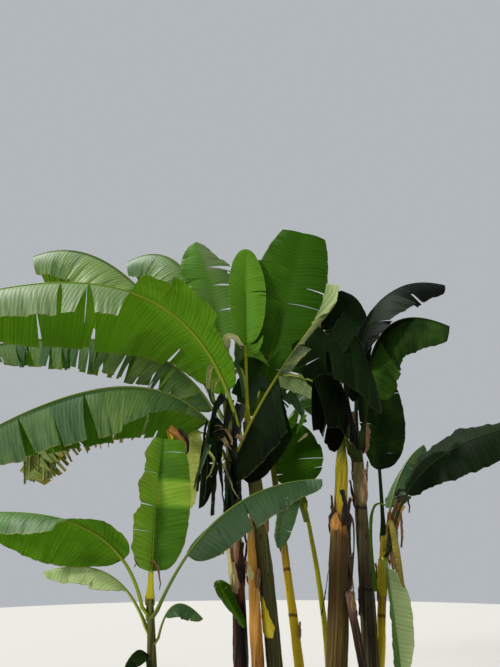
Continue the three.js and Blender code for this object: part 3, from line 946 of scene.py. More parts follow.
        part = (along - low) / np.maximum(high - low, 1e-6)
        along = low + gap(strip) + part * ((high - gap(strip + 1)) - (low + gap(strip)))
        loose = np.minimum(opens[0][strip], opens[0][strip + 1])
        droops = np.array([chance.between(-0.5, 1.0) for _ in bounds])[strip] * self.slack
        ends = np.array([chance.between(-self.fray, 0.02) for _ in bounds])[strip]
        swings = np.array([chance.between(-0.001, 0.001) for _ in bounds])[strip] * self.slack
        chances = np.array([chance() for _ in bounds])[strip]
        place, ahead, side, above = self._frame(self.stalk + (1 - self.stalk) * along)
        free = smooth((across - loose) / np.maximum(1.0 - loose, 0.05))
        rib = self.stalk_radius * (1 - (1 - RIB_AT_TIP) * (self.stalk + (1 - self.stalk) * along))
        blade = self.length * (1 - self.stalk)
        still = self._still(along, cuts)
        edge = self._open(along) * spread(self.reach[side_number], still)
        edge *= 1 + ends * free + 0.012 * own_noise(self.seed + 7, along * blade / 1000, 9.0)
        reach = np.maximum(self.width / 2 * edge, rib * 0.5)
        fold = np.clip(reach / (rib * 1.15) - 1, 0, 1)
        angle = np.radians(spread(tilts, still)) * fold
        hang = spread(self.hang, still) * fold
        way = side * (hand * np.cos(angle))[:, None] + above * np.sin(angle)[:, None]
        way = unit(way - UP * hang[:, None])
        normal = unit(np.cross(way, ahead) * hand)
        droop = np.radians(droops) * free
        line = way * np.cos(droop)[:, None] - normal * np.sin(droop)[:, None]
        metres = along * blade / 1000
        wave = own_noise(self.seed + 11 + hand, metres, 3.2) * self.ruffle * across ** 2
        wave *= np.minimum(1, edge * 1.5)
        pleat = np.sin(metres * FULL_TURN / PLEAT) * 0.9 * np.sqrt(across) * np.minimum(1, reach / 60)
        bow = arch * reach * 4 * across * (1 - across)
        points = place + line * (reach * across)[:, None] + normal * (wave + pleat + bow)[:, None]
        points += ahead * (swings * blade * free * across)[:, None]
        flat = np.stack([along * blade + self.seed * MAP_STEP, hand * across * reach], axis=-1)
        # The tone map: painted shade below a half and painted sunlight above it, with each strip's
        # chance number.
        tone = np.stack([spread(self.tones[side_number], along), chances], axis=-1)
        return points, flat, np.stack([along, across], axis=-1), tone

    @staticmethod
    def _still(along: np.ndarray, cuts: list[tuple[float, float, float]]) -> np.ndarray:
        """Places along the blade, held back from the tears so that each strip hangs as one."""
        ends = np.array([0.0, *(place for place, start, _ in cuts if start == TEAR_START), 1.0])
        strip = np.clip(np.searchsorted(ends, along), 1, len(ends) - 1)
        low, high = ends[strip - 1], ends[strip]
        middle = (low + high) / 2
        low = np.where(strip > 1, np.minimum(low + STILL, middle), low)
        high = np.where(strip < len(ends) - 1, np.maximum(high - STILL, middle), high)
        return np.clip(along, low, high)

    def _add_rib(self, sheet: Sheet) -> None:
        """Adds the stalk and midrib: grooved above, round below, and wide where it clasps the stem."""
        count = int(np.clip(self.length / RIB_STEP, *RIB_STEPS))
        share = np.linspace(0, 1, count + 1)
        place, _, side, above = self._frame(share)
        radius = self.stalk_radius * (1 - (1 - RIB_AT_TIP) * share)
        from_root = share * self.length
        clasp = 1 + CLASP_WIDER * np.clip(1 - from_root / CLASP_LENGTH, 0, 1) ** 2
        turn = np.arange(RIB_SIDES) / RIB_SIDES * FULL_TURN
        cos, sin = np.cos(turn), np.sin(turn)
        tall = np.where(sin > 0, 0.62 * sin - 0.42 * sin ** 3, sin)
        points = place[:, None] + side[:, None] * (cos[None, :, None] * (radius * clasp)[:, None, None])
        points = points + above[:, None] * (tall[None, :, None] * radius[:, None, None])
        inside = points[0] + self.into * CLASP_INSET - UP * CLASP_DROP
        points = np.concatenate([inside[None], points])
        from_root = np.concatenate([[CLASP_BEFORE], from_root])
        around = turn * self.stalk_radius
        lengthways = from_root[:, None] + self.seed * MAP_STEP
        flat = np.stack(np.broadcast_arrays(lengthways, around[None]), axis=-1)
        sheet.tube(points * MM, flat * MM, 3)


# The bright yellow from 0.735 to 0.88 of the main stem's height is its own yellow brightened with
# painted sunlight.
GOLDEN = StemFinish(
    "stem_golden", "stem_olive",
    ((0.0, "5c4a1c"), (0.3, "654c1c"), (0.64, "5a401e"), (0.67, "b07a34"), (0.705, "3a2020"),
     (0.735, "b88a2c"), (0.78, "dcc022"), (0.88, "c8b81e"), (0.93, "5c6420"), (1.0, "54601c")),
    "3e2a1c", "73642a", "1e1412", 0.6, 0.35)
OLIVE = StemFinish(
    "stem_olive", "stem_olive",
    ((0.0, "4a4226"), (0.3, "4c4a24"), (0.55, "565424"), (0.8, "62642a"), (1.0, "6c7230")),
    "2c221c", "74702c", "1c1614", 0.65, 0.45)
PURPLE = StemFinish(
    "stem_purple", "stem_olive",
    ((0.0, "3c3222"), (0.35, "42361f"), (0.6, "4e4026"), (0.76, "5c4c30"), (0.86, "7a6e42"),
     (1.0, "7c7a44")),
    "2a1e1a", "6a6c34", "1c1612", 0.7, 0.45, rings=(0.935, 1.51))
# The brown foot, below about 0.3 of the height, is partly the stem's own browning and partly painted
# shade near the ground.
STRAW = StemFinish(
    "stem_straw", "stem_straw",
    ((0.0, "6a4420"), (0.3, "8a5820"), (0.42, "e29a3c"), (0.85, "e8a648"), (1.0, "dcae60")),
    "b06c28", "f0bc68", "3a2418", 0.5, 0.2)
BROWN = StemFinish(
    "stem_brown", "stem_brown",
    ((0.0, "1e150e"), (0.37, "150f0b"), (0.41, "6a3422"), (0.46, "9a6448"), (0.56, "b48c68"),
     (0.64, "6c5226"), (1.0, "6c6a2c")),
    "150d0a", "6a3a28", "a88a5c", 0.55, 0.05)
STUMP = StemFinish(
    "stem_stump", "stem_brown",
    ((0.0, "3c2c1c"), (0.5, "2c2016"), (0.8, "4a3220"), (1.0, "a88070")),
    "120c0a", "6a5038", "8c7450", 0.6, 0.2)
YELLOW = StemFinish(
    "stem_yellow", "stem_yellow",
    ((0.0, "cca814"), (0.26, "e6c41c"), (0.5, "f0cc1c"), (0.6, "c89828"), (0.66, "a8843c"),
     (0.72, "5c5a1c"), (1.0, "5c641c")),
    "b08c18", "f0d830", "6a3c18", 0.45, 0.25, rings=(0.74, 1.06))
THIN = StemFinish(
    "stem_thin", "stem_yellow",
    ((0.0, "a09c14"), (0.5, "c8c01c"), (1.0, "bcc020")),
    "8c9418", "d4cc3c", "5c4a16", 0.4, 0.15)

# The stems and leaves have the sizes of the solids.
STEMS = (
    Stem("main", (0, 0), (84, 0), 2050, 1,
         ((0, 80), (1380, 72), (1450, 70), (1470, 50), (1800, 45), (1960, 26), (2050, 8)),
         GOLDEN, 3.5, 4),
    Stem("right", (281, 50), (190, 50), 2060, 1, ((0, 62), (1200, 50), (1750, 44), (2060, 36)),
         PURPLE, 3, 3),
    Stem("green", (-386, 0), (-606, 0), 2120, 1.2, ((0, 60), (1300, 54), (1850, 48), (2120, 38)),
         OLIVE, 3, 3),
    Stem("straw", (-512, -60), (-592, -60), 1400, 1, ((0, 52), (700, 42), (1250, 26), (1400, 14)),
         STRAW, 3, 3, 16),
    Stem("brown", (-631, 120), (-738, 120), 2180, 1, ((0, 56), (1100, 46), (1900, 42), (2180, 34)),
         BROWN, 4, 4),
    Stem("yellow", (-192, 250), (-424, 250), 1860, 1.1, ((0, 40), (1000, 29), (1600, 25), (1860, 20)),
         YELLOW, 1.8, 2),
    Stem("thin", (-10, 300), (-183, 300), 1540, 2, ((0, 24), (900, 19), (1540, 14)), THIN, 1, 1),
    Stem("small", (322, 200), (396, 200), 1300, 1, ((0, 36), (800, 30), (1300, 24)), YELLOW, 2, 2, 12),
    Stem("sucker", (-1183, -600), (-1232, -600), 930, 1, ((0, 36), (600, 28), (930, 22)), OLIVE, 2, 2),
    Stem("stump", (262, -125), (91, -130), 930, 1, ((0, 34), (600, 29), (900, 26), (930, 18)),
         STUMP, 2.5, 3, 22),
)

# Each leaf's tones paint shade below a half and sunlight above it; the dark, shade and folded looks hold
# painted shade.
LEAVES = (
    Leaf("left_leaf_01", "green", 1990, (198, 740, 990), (192, 2120, 950), 880, 0.14,
         ((0, 17), (0.44, 14), (0.47, -38), (1, -44)), (-20, -45, -68, -78, -82),
         ((0.455, 0.585, 0.675), (0.593,)), Look.BRIGHT, reach=((1, 1), (1, 1, 1.1, 1.2, 1.2)),
         lost=0.04, blunt=0.35, parted=True, rips=(4, 3), gaps=(0.045, 0.01), slack=9,
         arch=(0.03, 0.1), ruffle=16,
         tones=(((0, 0.5), (0.45, 0.5), (0.46, 0.8), (1, 0.7)), (0.5, 0.5))),
    Leaf("left_leaf_02", "brown", 2165, (163, 880, 1170), (167, 1670, 1350), 730, 0.2,
         (0, -10, -40, -56, -60), (-20, -40, -56, -60), (1, 1), Look.GREEN,
         reach=((1, 1), (0.2, 0.3, 0.8, 1)), lost=0.1, blunt=0.34, rips=(2, 3), slack=4, ruffle=14,
         tones=((0.9, 0.9), (0.6, 0.6))),
    Leaf("left_leaf_03", "brown", 2118, (126, 594, 1260), (139, 1209, 1470), 660, 0.24,
         (-20, -40, -60), (-20, -40, -50), (1, 1), Look.GREEN, lost=0.1, blunt=0.34, rips=(3, 2),
         ruffle=14, tones=((0.8, 0.8), (0.6, 0.6))),
    Leaf("left_leaf_04", "brown", 2186, (118, 262, 918), (122, 567, 1488), 560, 0.38, (30, 10, -10),
         (10, -10, -30), (1, 3), Look.BRIGHT, facing=95, rips=(1, 4), gaps=(0.016, 0.05), slack=14,
         ruffle=12, tones=((0.5, 0.5), (0.7, 0.8))),
    Leaf("left_leaf_05", "brown", 2060, (174, 690, 640), (174, 1960, 680), 500, 0.08, (-56, -74, -82),
         (-40, -72, -82), (5, 4), Look.GREEN, reach=((0.9, 1.15, 1.1, 1.3), (0.9, 1.15, 1.1, 1.3)),
         blunt=0.34, parted=True, rips=(18, 18), deep=(0.05, 0.35), gaps=(0.03, 0.03),
         split=(0.004, 0.011), fray=0.12, slack=18, ruffle=14,
         tones=((0.8, 0.75, 0.55), (0.8, 0.75, 0.5))),
    Leaf("left_leaf_06", "brown", 1990, (190, 760, 390), (186, 1890, -10), 820, 0.09,
         (-30, -60, -68, -70), (-44, -60, -72, -78), ((0.53, 0.8), (0.25, 0.43, 0.6, 0.78)),
         Look.GREEN, reach=((0.25, 0.6, 0.95, 1, 1.1, 1.2), (1.25, 1.1, 1, 1, 1)), blunt=0.32,
         parted=True, rips=(5, 6), gaps=(0.05, 0.02), slack=9, arch=(0.06, 0.1), ruffle=16,
         tones=((0.6, 0.8, 0.55, 0.45), (0.5, 0.5))),
    Leaf("left_leaf_07", "green", 2126, (97, 151, 788), (92, 300, 1396), 330, 0.42, (55, 45, 20),
         (25, 10, -10), (0, 1), Look.YOUNG, facing=85, rips=(0, 1), ruffle=8),
    Leaf("left_leaf_08", "green", 2040, (50, 290, 740), (41, 580, 1640), 660, 0.2, (16, 10, 0),
         (4, 0, -6), (0, 1), Look.SHADE, facing=85, lost=0.08, blunt=0.36, gaps=(0.01, 0.008),
         ruffle=12, arch=(0.05, 0.1)),
    Leaf("left_leaf_09", "brown", 1830, (308, 505, 577), (354, 788, 1241), 860, 0.04,
         ((0, -70), (0.44, -50), (0.47, -20), (1, -20)),
         ((0, -40), (0.44, -45), (0.47, -14), (1, -14)), ((0.455,), (0.455, 0.62)), Look.FOLDED,
         hang=((0, 3), (0.44, 2.2), (0.47, 0.2), (1, 0.2)),
         reach=(((0, 1), (0.44, 1), (0.47, 0.14), (1, 0.2)),
                ((0, 1), (0.44, 1), (0.47, 0.6), (0.6, 0.6), (0.64, 0.16), (1, 0.24))),
         facing=(290, 354, 408), rips=(1, 1), gaps=(0.02, 0.03), slack=3, ruffle=10,
         tones=(((0, 0.3), (0.45, 0.3), (0.46, 0.8), (1, 0.8)),
                ((0, 0.2), (0.45, 0.3), (0.46, 0.6), (1, 0.8)))),
    Leaf("left_leaf_10", "brown", 1800, (158, 1030, 510), (164, 1760, -10), 700, 0.3,
         (-60, -76, -80), (-60, -76, -80), (2, 2), Look.FRINGE, lost=0.18, rips=(40, 40),
         deep=(0.05, 0.3), split=(0.007, 0.016), fray=0.4, slack=20, ruffle=14,
         tones=((0.3, 0.4, 0.8), (0.3, 0.4, 0.8))),
    Leaf("left_leaf_11", "brown", 2010, (235, 246, 90), (222, 300, -510), 260, 0.1, (-40, -60, -60),
         (-40, -60, -60), (1, 1), Look.DARK, rips=(3, 3), slack=10, ruffle=12,
         tones=((0.2, 0.2), (0.2, 0.2))),
    Leaf("left_leaf_12", "brown", 1750, (263, 160, 50), (258, 205, -340), 260, 0.1, (-50, -64, -60),
         (-50, -64, -60), (0, 1), Look.DARK, rips=(2, 2), slack=8, ruffle=10,
         tones=((0.2, 0.2), (0.2, 0.2))),
    Leaf("left_leaf_13", "brown", 1880, (187, 254, 147), (186, 299, -377), 170, 0.3, (0, 0, 0),
         (0, 0, 0), (0, 0), Look.PALE, facing=250, rips=(1, 1)),
    Leaf("left_leaf_14", "brown", 1960, (130, 500, 300), (134, 570, 30), 200, 0.6, (-40, -60, -60),
         (-40, -60, -60), (0, 1), Look.STRAW, rips=(1, 1), slack=12),
    Leaf("left_leaf_15", "green", 1950, (80, 560, 520), (80, 1250, 450), 560, 0.2, (-20, -50, -64),
         (-20, -50, -64), (2, 2), Look.SHADE),
    Leaf("brown_leaf_01", "brown", 940, (215, 140, 30), (290, 150, -260), 130, 0.2, (-20, -40, -50),
         (-20, -40, -50), (0, 0), Look.SHADE, facing=260),
    Leaf("main_leaf_01", "main", 1440, (305, 125, -90), (294, 135, -500), 50, 0.5, (-30, -50, -50),
         (-30, -50, -50), (0, 0), Look.BROWN, facing=335),
    Leaf("right_leaf_01", "right", 1880, (243, 304, 480), (233, 588, 495), 840, 0.32, (-40, -40, -40),
         (-55, -55, -55), (0, 1), Look.DARK, hang=(2, 2), facing=(251, 233, 213), lost=0.3, blunt=0.3,
         rips=(1, 1), slack=4, ruffle=10, tones=((0, 0.1), (0, 0.1))),
    Leaf("right_leaf_02", "right", 1960, (273, 330, 640), (241, 540, 760), 680, 0.45, (-30, -40, -40),
         (-50, -50, -50), (1, 1), Look.DARK, hang=(1.6, 1.6),
         reach=((1.2, 1.45, 1.5, 1.45, 1.3), (1, 1)),
         facing=(291, 241, 187), lost=0.25, blunt=0.3, rips=(1, 1), slack=5, ruffle=10,
         tones=((0.4, 0.5), (0.25, 0.3))),
    Leaf("right_leaf_03", "right", 2066, (0, 171, 912), (8, 730, 1124), 720, 0.3, (20, 0, -20),
         (10, -30, -40), (1, 1), Look.DARK, reach=((0.7, 0.6), (1, 1)), blunt=0.36, rips=(1, 2),
         tones=((0, 0.3), (0, 0.2))),
    Leaf("right_leaf_04", "right", 1930, (333, 190, 830), (331, 730, 845), 660, 0.3, (-40, -60, -70),
         (-80, -74, -74), (0, 0), Look.DARK, hang=(0.6, 1),
         reach=((0.8, 0.8, 0.7), (1, 1, 0.95, 0.8)), lost=0.05, blunt=0.36, rips=(1, 1), slack=5,
         ruffle=26, tones=((0.85, 0.85), (0.85, 0.8))),
    Leaf("right_leaf_05", "right", 2000, (100, 345, 760), (95, 440, 1230), 600, 0.42, (10, 0, -10),
         (10, 0, -10), (1, 1), Look.DARK, reach=((0.5, 0.55), (0.75, 0.95)), facing=88, blunt=0.34,
         rips=(1, 1), tones=((0.2, 0.2), (0.2, 0.2))),
    Leaf("right_leaf_06", "right", 1900, (128, 400, 600), (124, 800, 600), 520, 0.22, (-20, -50, -64),
         (-20, -50, -64), (2, 2), Look.SHADE),
    Leaf("small_leaf_01", "small", 1306, (115, 66, 787), (129, 128, 1327), 460, 0.36, (50, 50, 30),
         (0, 0, 0), (0, 0), Look.DARK, facing=90, lost=0.04, tones=((0.6, 0.6), (0.6, 0.6))),
    Leaf("small_leaf_02", "small", 1200, (336, 370, 620), (340, 1153, 900), 560, 0.28, (28, 28, 10),
         (-30, -56, -66), (0, 0), Look.DARK, rips=(0, 1), ruffle=16, tones=((0.5, 0.7), (0.2, 0.3))),
    Leaf("small_leaf_03", "small", 1150, (280, 150, -340), (284, 270, -800), 320, 0.1, (-10, -10, -10),
         (74, 70, 50), (0, 0), Look.SUNLIT, facing=280, rips=(0, 1), tones=((1, 1), (0.3, 0.3))),
    Leaf("small_leaf_04", "small", 1240, (52, 253, 490), (45, 567, 756), 330, 0.3, (-20, -40, -50),
         (-20, -40, -50), (1, 1), Look.GREEN),
    Leaf("small_leaf_05", "small", 1215, (292, 135, 190), (312, 185, -275), 90, 0.3, (-30, -50, -50),
         (-30, -50, -50), (0, 0), Look.STRAW),
    Leaf("thin_leaf_01", "thin", 1546, (136, 73, 340), (91, 150, 600), 420, 0.2, (10, 5, 0),
         (10, 5, 0), (0, 1), Look.SHADE, facing=90),
    Leaf("thin_leaf_02", "thin", 1450, (232, 220, 110), (230, 340, -230), 190, 0.2, (-10, -20, -20),
         (-10, -20, -20), (0, 0), Look.GREEN, facing=240),
    Leaf("yellow_leaf_01", "yellow", 1866, (330, 80, 200), (335, 200, 380), 220, 0.3, (0, -20, -30),
         (0, -20, -30), (1, 0), Look.GREEN, facing=335),
    Leaf("sucker_leaf_01", "sucker", 880, (187, 380, 480), (186, 1130, 590), 640, 0.24,
         (30, 18, -10, -27, -30), (-50, -66, -76, -80), (0, 0), Look.BRIGHT, parted=True, rips=(1, 1),
         ruffle=10, arch=(0.05, 0.12), tones=((0.2, 0.35), (0.3, 0.35))),
    # Its right half's tones paint shadow bands cast by other leaves, with a band of painted sunlight
    # between them.
    Leaf("sucker_leaf_02", "sucker", 936, (75, 56, 493), (72, 160, 1028), 480, 0.16, (60, 60, 50),
         (4, 0, 0), ((0.28, 0.47, 0.72), (0.9,)), Look.YOUNG,
         reach=(((0, 0.9), (0.14, 1.1), (0.28, 0.85), (0.38, 1.0), (0.47, 0.7), (0.6, 0.9), (0.72, 0.6),
                 (0.86, 0.75), (1, 0.5)), (1, 1)),
         facing=88, lost=0.08, blunt=0.34, rips=(0, 0), gaps=(0.006, 0.006), slack=5, ruffle=18,
         tones=((0.75, 0.75), ((0, 0.1), (0.45, 0.1), (0.5, 0.9), (0.66, 0.9), (0.7, 0.1), (1, 0.3)))),
    Leaf("sucker_leaf_03", "sucker", 860, (344, 496, 620), (347, 1121, 820), 460, 0.28, (20, -15, -30),
         (-80, -70, -56, -50), (0, 1), Look.GREEN, lost=0.04, ruffle=12,
         tones=((0, 0.1), (-0.1, 0.1))),
    Leaf("sucker_leaf_04", "sucker", 690, (0, 140, 205), (8, 330, 110), 220, 0.3, (-20, -40, -50),
         (-30, -50, -60), (0, 0), Look.GREEN),
    Leaf("sucker_leaf_05", "sucker", 760, (154, 350, 320), (161, 800, 320), 320, 0.3, (-20, -45, -60),
         (-20, -50, -60), (0, 0), Look.SUNLIT, tones=((0.9, 0.9), (0.9, 0.9))),
    Leaf("sucker_leaf_06", "sucker", 520, (248, 160, 120), (242, 300, 20), 170, 0.3, (-20, -40, -50),
         (-20, -40, -50), (0, 0), Look.DARK),
    Leaf("sucker_leaf_07", "sucker", 840, (92, 300, 460), (86, 820, 430), 340, 0.26, (-20, -45, -60),
         (-20, -45, -60), (1, 0), Look.GREEN),
    Leaf("right_leaf_07", "right", 2040, (176, 140, 370), (178, 360, 740), 420, 0.42, (20, 20, 15),
         (10, 5, 0), (1, 0), Look.DARK, reach=((1, 1), (0.3, 0.4, 0.7, 0.9)), facing=88, lost=0.1,
         blunt=0.34, rips=(1, 1), slack=5, tones=((0.3, 0.45), (0.3, 0.4))),
)


@dataclass(frozen=True)
class Flap:
    """A strip of dead sheath that peels off a stem from its fixed height to its free end.

    turn is the side of the stem it is on, in degrees, off is how far the free end stands away, curl
    how much its edges roll outwards, skew how far round the stem it leans, and root its width at the
    fixed end as a share.
    """

    turn: float
    fixed: float
    free: float
    width: float
    off: float
    curl: float = 0.3
    skew: float = 0.0
    look: Look = Look.SHEATH
    root: float = 0.25


@dataclass(frozen=True)
class Ribbon:
    """A dry or fresh strip through three places, each a plan position and a height in millimetres.

    twist is its turn at both ends, in degrees, cup how much its edges roll, and taper how much it
    narrows to its end. tone tells how pale it is, for the looks of fresh leaves: below a half is
    painted shade, and above it is painted sunlight.
    """

    start: Place
    middle: Place
    end: Place
    width: float
    twist: tuple[float, float] = (0.0, 0.0)
    cup: float = 0.4
    look: Look = Look.SHEATH
    taper: float = 0.35
    tone: float = 0.5


class Litter:
    """The peeling sheaths or hanging strips of one crown or stem, joined to one piece."""

    def __init__(self, name: str) -> None:
        """Starts an empty piece."""
        self.name = name
        self.sheet = Sheet()
        self.looks: list[Look] = []
        self.count = 0

    def _grid(self, steps: int, rows: int, look: Look) -> tuple[list, np.ndarray, np.ndarray]:
        """Adds a strip's flat grid, and gives its vertices and their shares along and across."""
        verts, numbers = self.sheet.grid(steps, rows)
        if look not in self.looks:
            self.looks.append(look)
        for face in {f for v in verts for f in v.link_faces}:
            face.material_index = self.looks.index(look)
        self.count += 1
        return verts, numbers[:, 0] / steps, numbers[:, 1] / rows * 2 - 1

    def add_flap(self, stem: Stem, flap: Flap) -> None:
        """Adds a strip that peels away from its stem and curls."""
        length = abs(flap.free - flap.fixed)
        steps = int(np.clip(length / FLAP_STEP, *FLAP_STEPS))
        verts, a, c = self._grid(steps, FLAP_ROWS, flap.look)
        seed = self.count * 31 + int(flap.turn)
        height = flap.fixed + (flap.free - flap.fixed) * a
        taper = 1 - 0.55 * smooth(a * 1.3 - 0.3) + 0.12 * own_noise(seed, a + c * 0.1, 3.0)
        taper *= flap.root + (1 - flap.root) * smooth(a * 2.6 + 0.1)
        radius = stem.radius(height)
        half = flap.width / 2 * taper
        around = np.degrees(c * half / radius * (1 - 0.35 * smooth(a)))
        turn = flap.turn + around + flap.skew * a
        off = 11 * smooth(a * 5) - 5 + flap.off * a ** 2 + flap.curl * half * c ** 2 * smooth(a * 1.5)
        off += 4 * own_noise(seed + 3, a * 2 + c, 1.4) * a
        up = np.sign(flap.free - flap.fixed)
        height = height + 14 * own_noise(seed + 5, c, 1.6) * smooth(a * 3 - 2) * up
        points = stem.axis(height) + level(turn) * (radius + off)[:, None]
        flat = np.stack([c * half, a * length], axis=-1) + (seed * STRIP_MAP_STEP, 0)
        self.sheet.place(verts, points * MM, flat * MM, np.stack([a, (c + 1) / 2], axis=-1))

    def add_ribbon(self, ribbon: Ribbon) -> None:
        """Adds a strip along a curve, twisted and cupped."""
        places = (ribbon.start, ribbon.middle, ribbon.end)
        start, middle, end = (np.array(p, dtype=float) for p in places)
        length = float(np.linalg.norm(middle - start) + np.linalg.norm(end - middle))
        steps = int(np.clip(length / RIBBON_STEP, *RIBBON_STEPS))
        verts, a, c = self._grid(steps, RIBBON_ROWS, ribbon.look)
        seed = self.count * 17
        t = a[:, None]
        control = middle * 2 - (start + end) / 2
        place = start * (1 - t) ** 2 + control * (2 * t * (1 - t)) + end * t ** 2
        ahead = unit((control - start) * (1 - t) + (end - control) * t)
        aside = unit(np.cross(ahead, STRIP_VIEW))
        above = np.cross(aside, ahead)
        turn = np.radians(ribbon.twist[0] + (ribbon.twist[1] - ribbon.twist[0]) * a)
        taper = 1 - ribbon.taper * smooth(a * 1.4 - 0.4) + 0.15 * own_noise(seed, a, 2.5)
        half = ribbon.width / 2 * taper
        line = aside * np.cos(turn)[:, None] + above * np.sin(turn)[:, None]
        normal = above * np.cos(turn)[:, None] - aside * np.sin(turn)[:, None]
        points = place + line * (half * c)[:, None]
        points += normal * (ribbon.cup * half * c ** 2 + 5 * own_noise(seed + 2, a, 2.0))[:, None]
        points += ahead * (10 * own_noise(seed + 4, c, 1.3) * smooth(a * 4 - 3))[:, None]
        flat = np.stack([c * half, a * length], axis=-1) + (seed * STRIP_MAP_STEP, 0)
        tone = np.full((len(verts), 2), ribbon.tone)
        self.sheet.place(verts, points * MM, flat * MM, np.stack([a, np.abs(c)], axis=-1), tone)

    def build(self, materials: Materials) -> bpy.types.Object:
        """Thickens the strips and ends the piece.

        Args:
            materials: The materials of each look.

        Returns:
            The piece.
        """
        self.sheet.thicken(SHEATH_THICKNESS)
        slots = [materials[look][0] for look in self.looks]
        piece = self.sheet.finish(self.name, slots)
        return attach(piece, "root")


def fringe_strip(x: int) -> Ribbon:
    """Gives a thin strip of the dry fringe that hangs down at x, higher up towards the crown."""
    rise = (x - FRINGE_END) * 0.2
    start, middle = (x, 560, 1900 + rise), (x + 5, 558, 1800 + rise)
    end = (x + 8, 556, 1690 + rise + x % 3 * 12)
    return Ribbon(start, middle, end, 27, (x % 7 * 8, 0), 0.3, Look.FRINGE, 0.3, 0.2 + x % 5 * 0.15)


# The peeling sheaths of each stem, and on the green stem a yellow strip of painted sunlight.
FLAPS = {
    "main": (
        Flap(238, 1345, 1470, 90, 4, look=Look.ORANGE, root=0.95),
        Flap(205, 1340, 1590, 56, 22, look=Look.BROWN),
        Flap(290, 1360, 1560, 50, 12, look=Look.BROWN),
        Flap(318, 1310, 1575, 60, 26, look=Look.BROWN), Flap(60, 1250, 1500, 90, 20),
        Flap(130, 1280, 1520, 80, 24, look=Look.BROWN),
        Flap(335, 1400, 1580, 26, 34, look=Look.ORANGE),
        Flap(340, 1180, 900, 60, 30), Flap(170, 1100, 760, 50, 36, look=Look.BROWN),
    ),
    "right": (
        Flap(300, 1500, 1780, 70, 20), Flap(10, 1560, 1840, 60, 26),
        Flap(150, 1480, 1700, 60, 20, look=Look.BROWN),
        Flap(220, 1000, 760, 46, 24, look=Look.BROWN),
    ),
    "brown": (
        Flap(215, 880, 1250, 64, 26, look=Look.CREAM),
        Flap(300, 940, 1260, 60, 34, look=Look.BROWN),
        Flap(250, 880, 1120, 60, 12), Flap(20, 900, 1240, 70, 30, look=Look.BROWN),
        Flap(110, 900, 1240, 70, 34, look=Look.BROWN),
        Flap(180, 1500, 1180, 50, 44, look=Look.BROWN),
        Flap(330, 1560, 1240, 50, 40, look=Look.BROWN),
    ),
    "green": (
        Flap(200, 1250, 1560, 60, 20), Flap(330, 1300, 1600, 66, 20),
        Flap(80, 1200, 1500, 70, 26, look=Look.BROWN),
        # Painted sunlight: a flat pale yellow strip on the front of the olive stem where a patch of sun
        # falls.
        Flap(250, 585, 890, 110, 4, 0.0, skew=-25, look=Look.YELLOW),
    ),
    "straw": (
        Flap(250, 1000, 1110, 40, 26, 0.8, look=Look.CREAM),
        Flap(320, 940, 1080, 36, 20, 0.7),
        Flap(120, 940, 1130, 60, 26), Flap(30, 900, 1100, 50, 30),
    ),
    "small": (
        Flap(270, 830, 1300, 90, 8, look=Look.YELLOW), Flap(350, 820, 1160, 40, 26),
        Flap(150, 800, 1100, 50, 24), Flap(60, 820, 1180, 50, 24, look=Look.BROWN),
    ),
    "yellow": (
        Flap(320, 560, 690, 40, 16), Flap(150, 1160, 1340, 34, 14, look=Look.BROWN),
    ),
    "stump": (
        Flap(300, 780, 940, 40, 16), Flap(120, 760, 930, 40, 20, look=Look.BROWN),
        Flap(30, 740, 900, 30, 12, look=Look.BROWN),
    ),
}

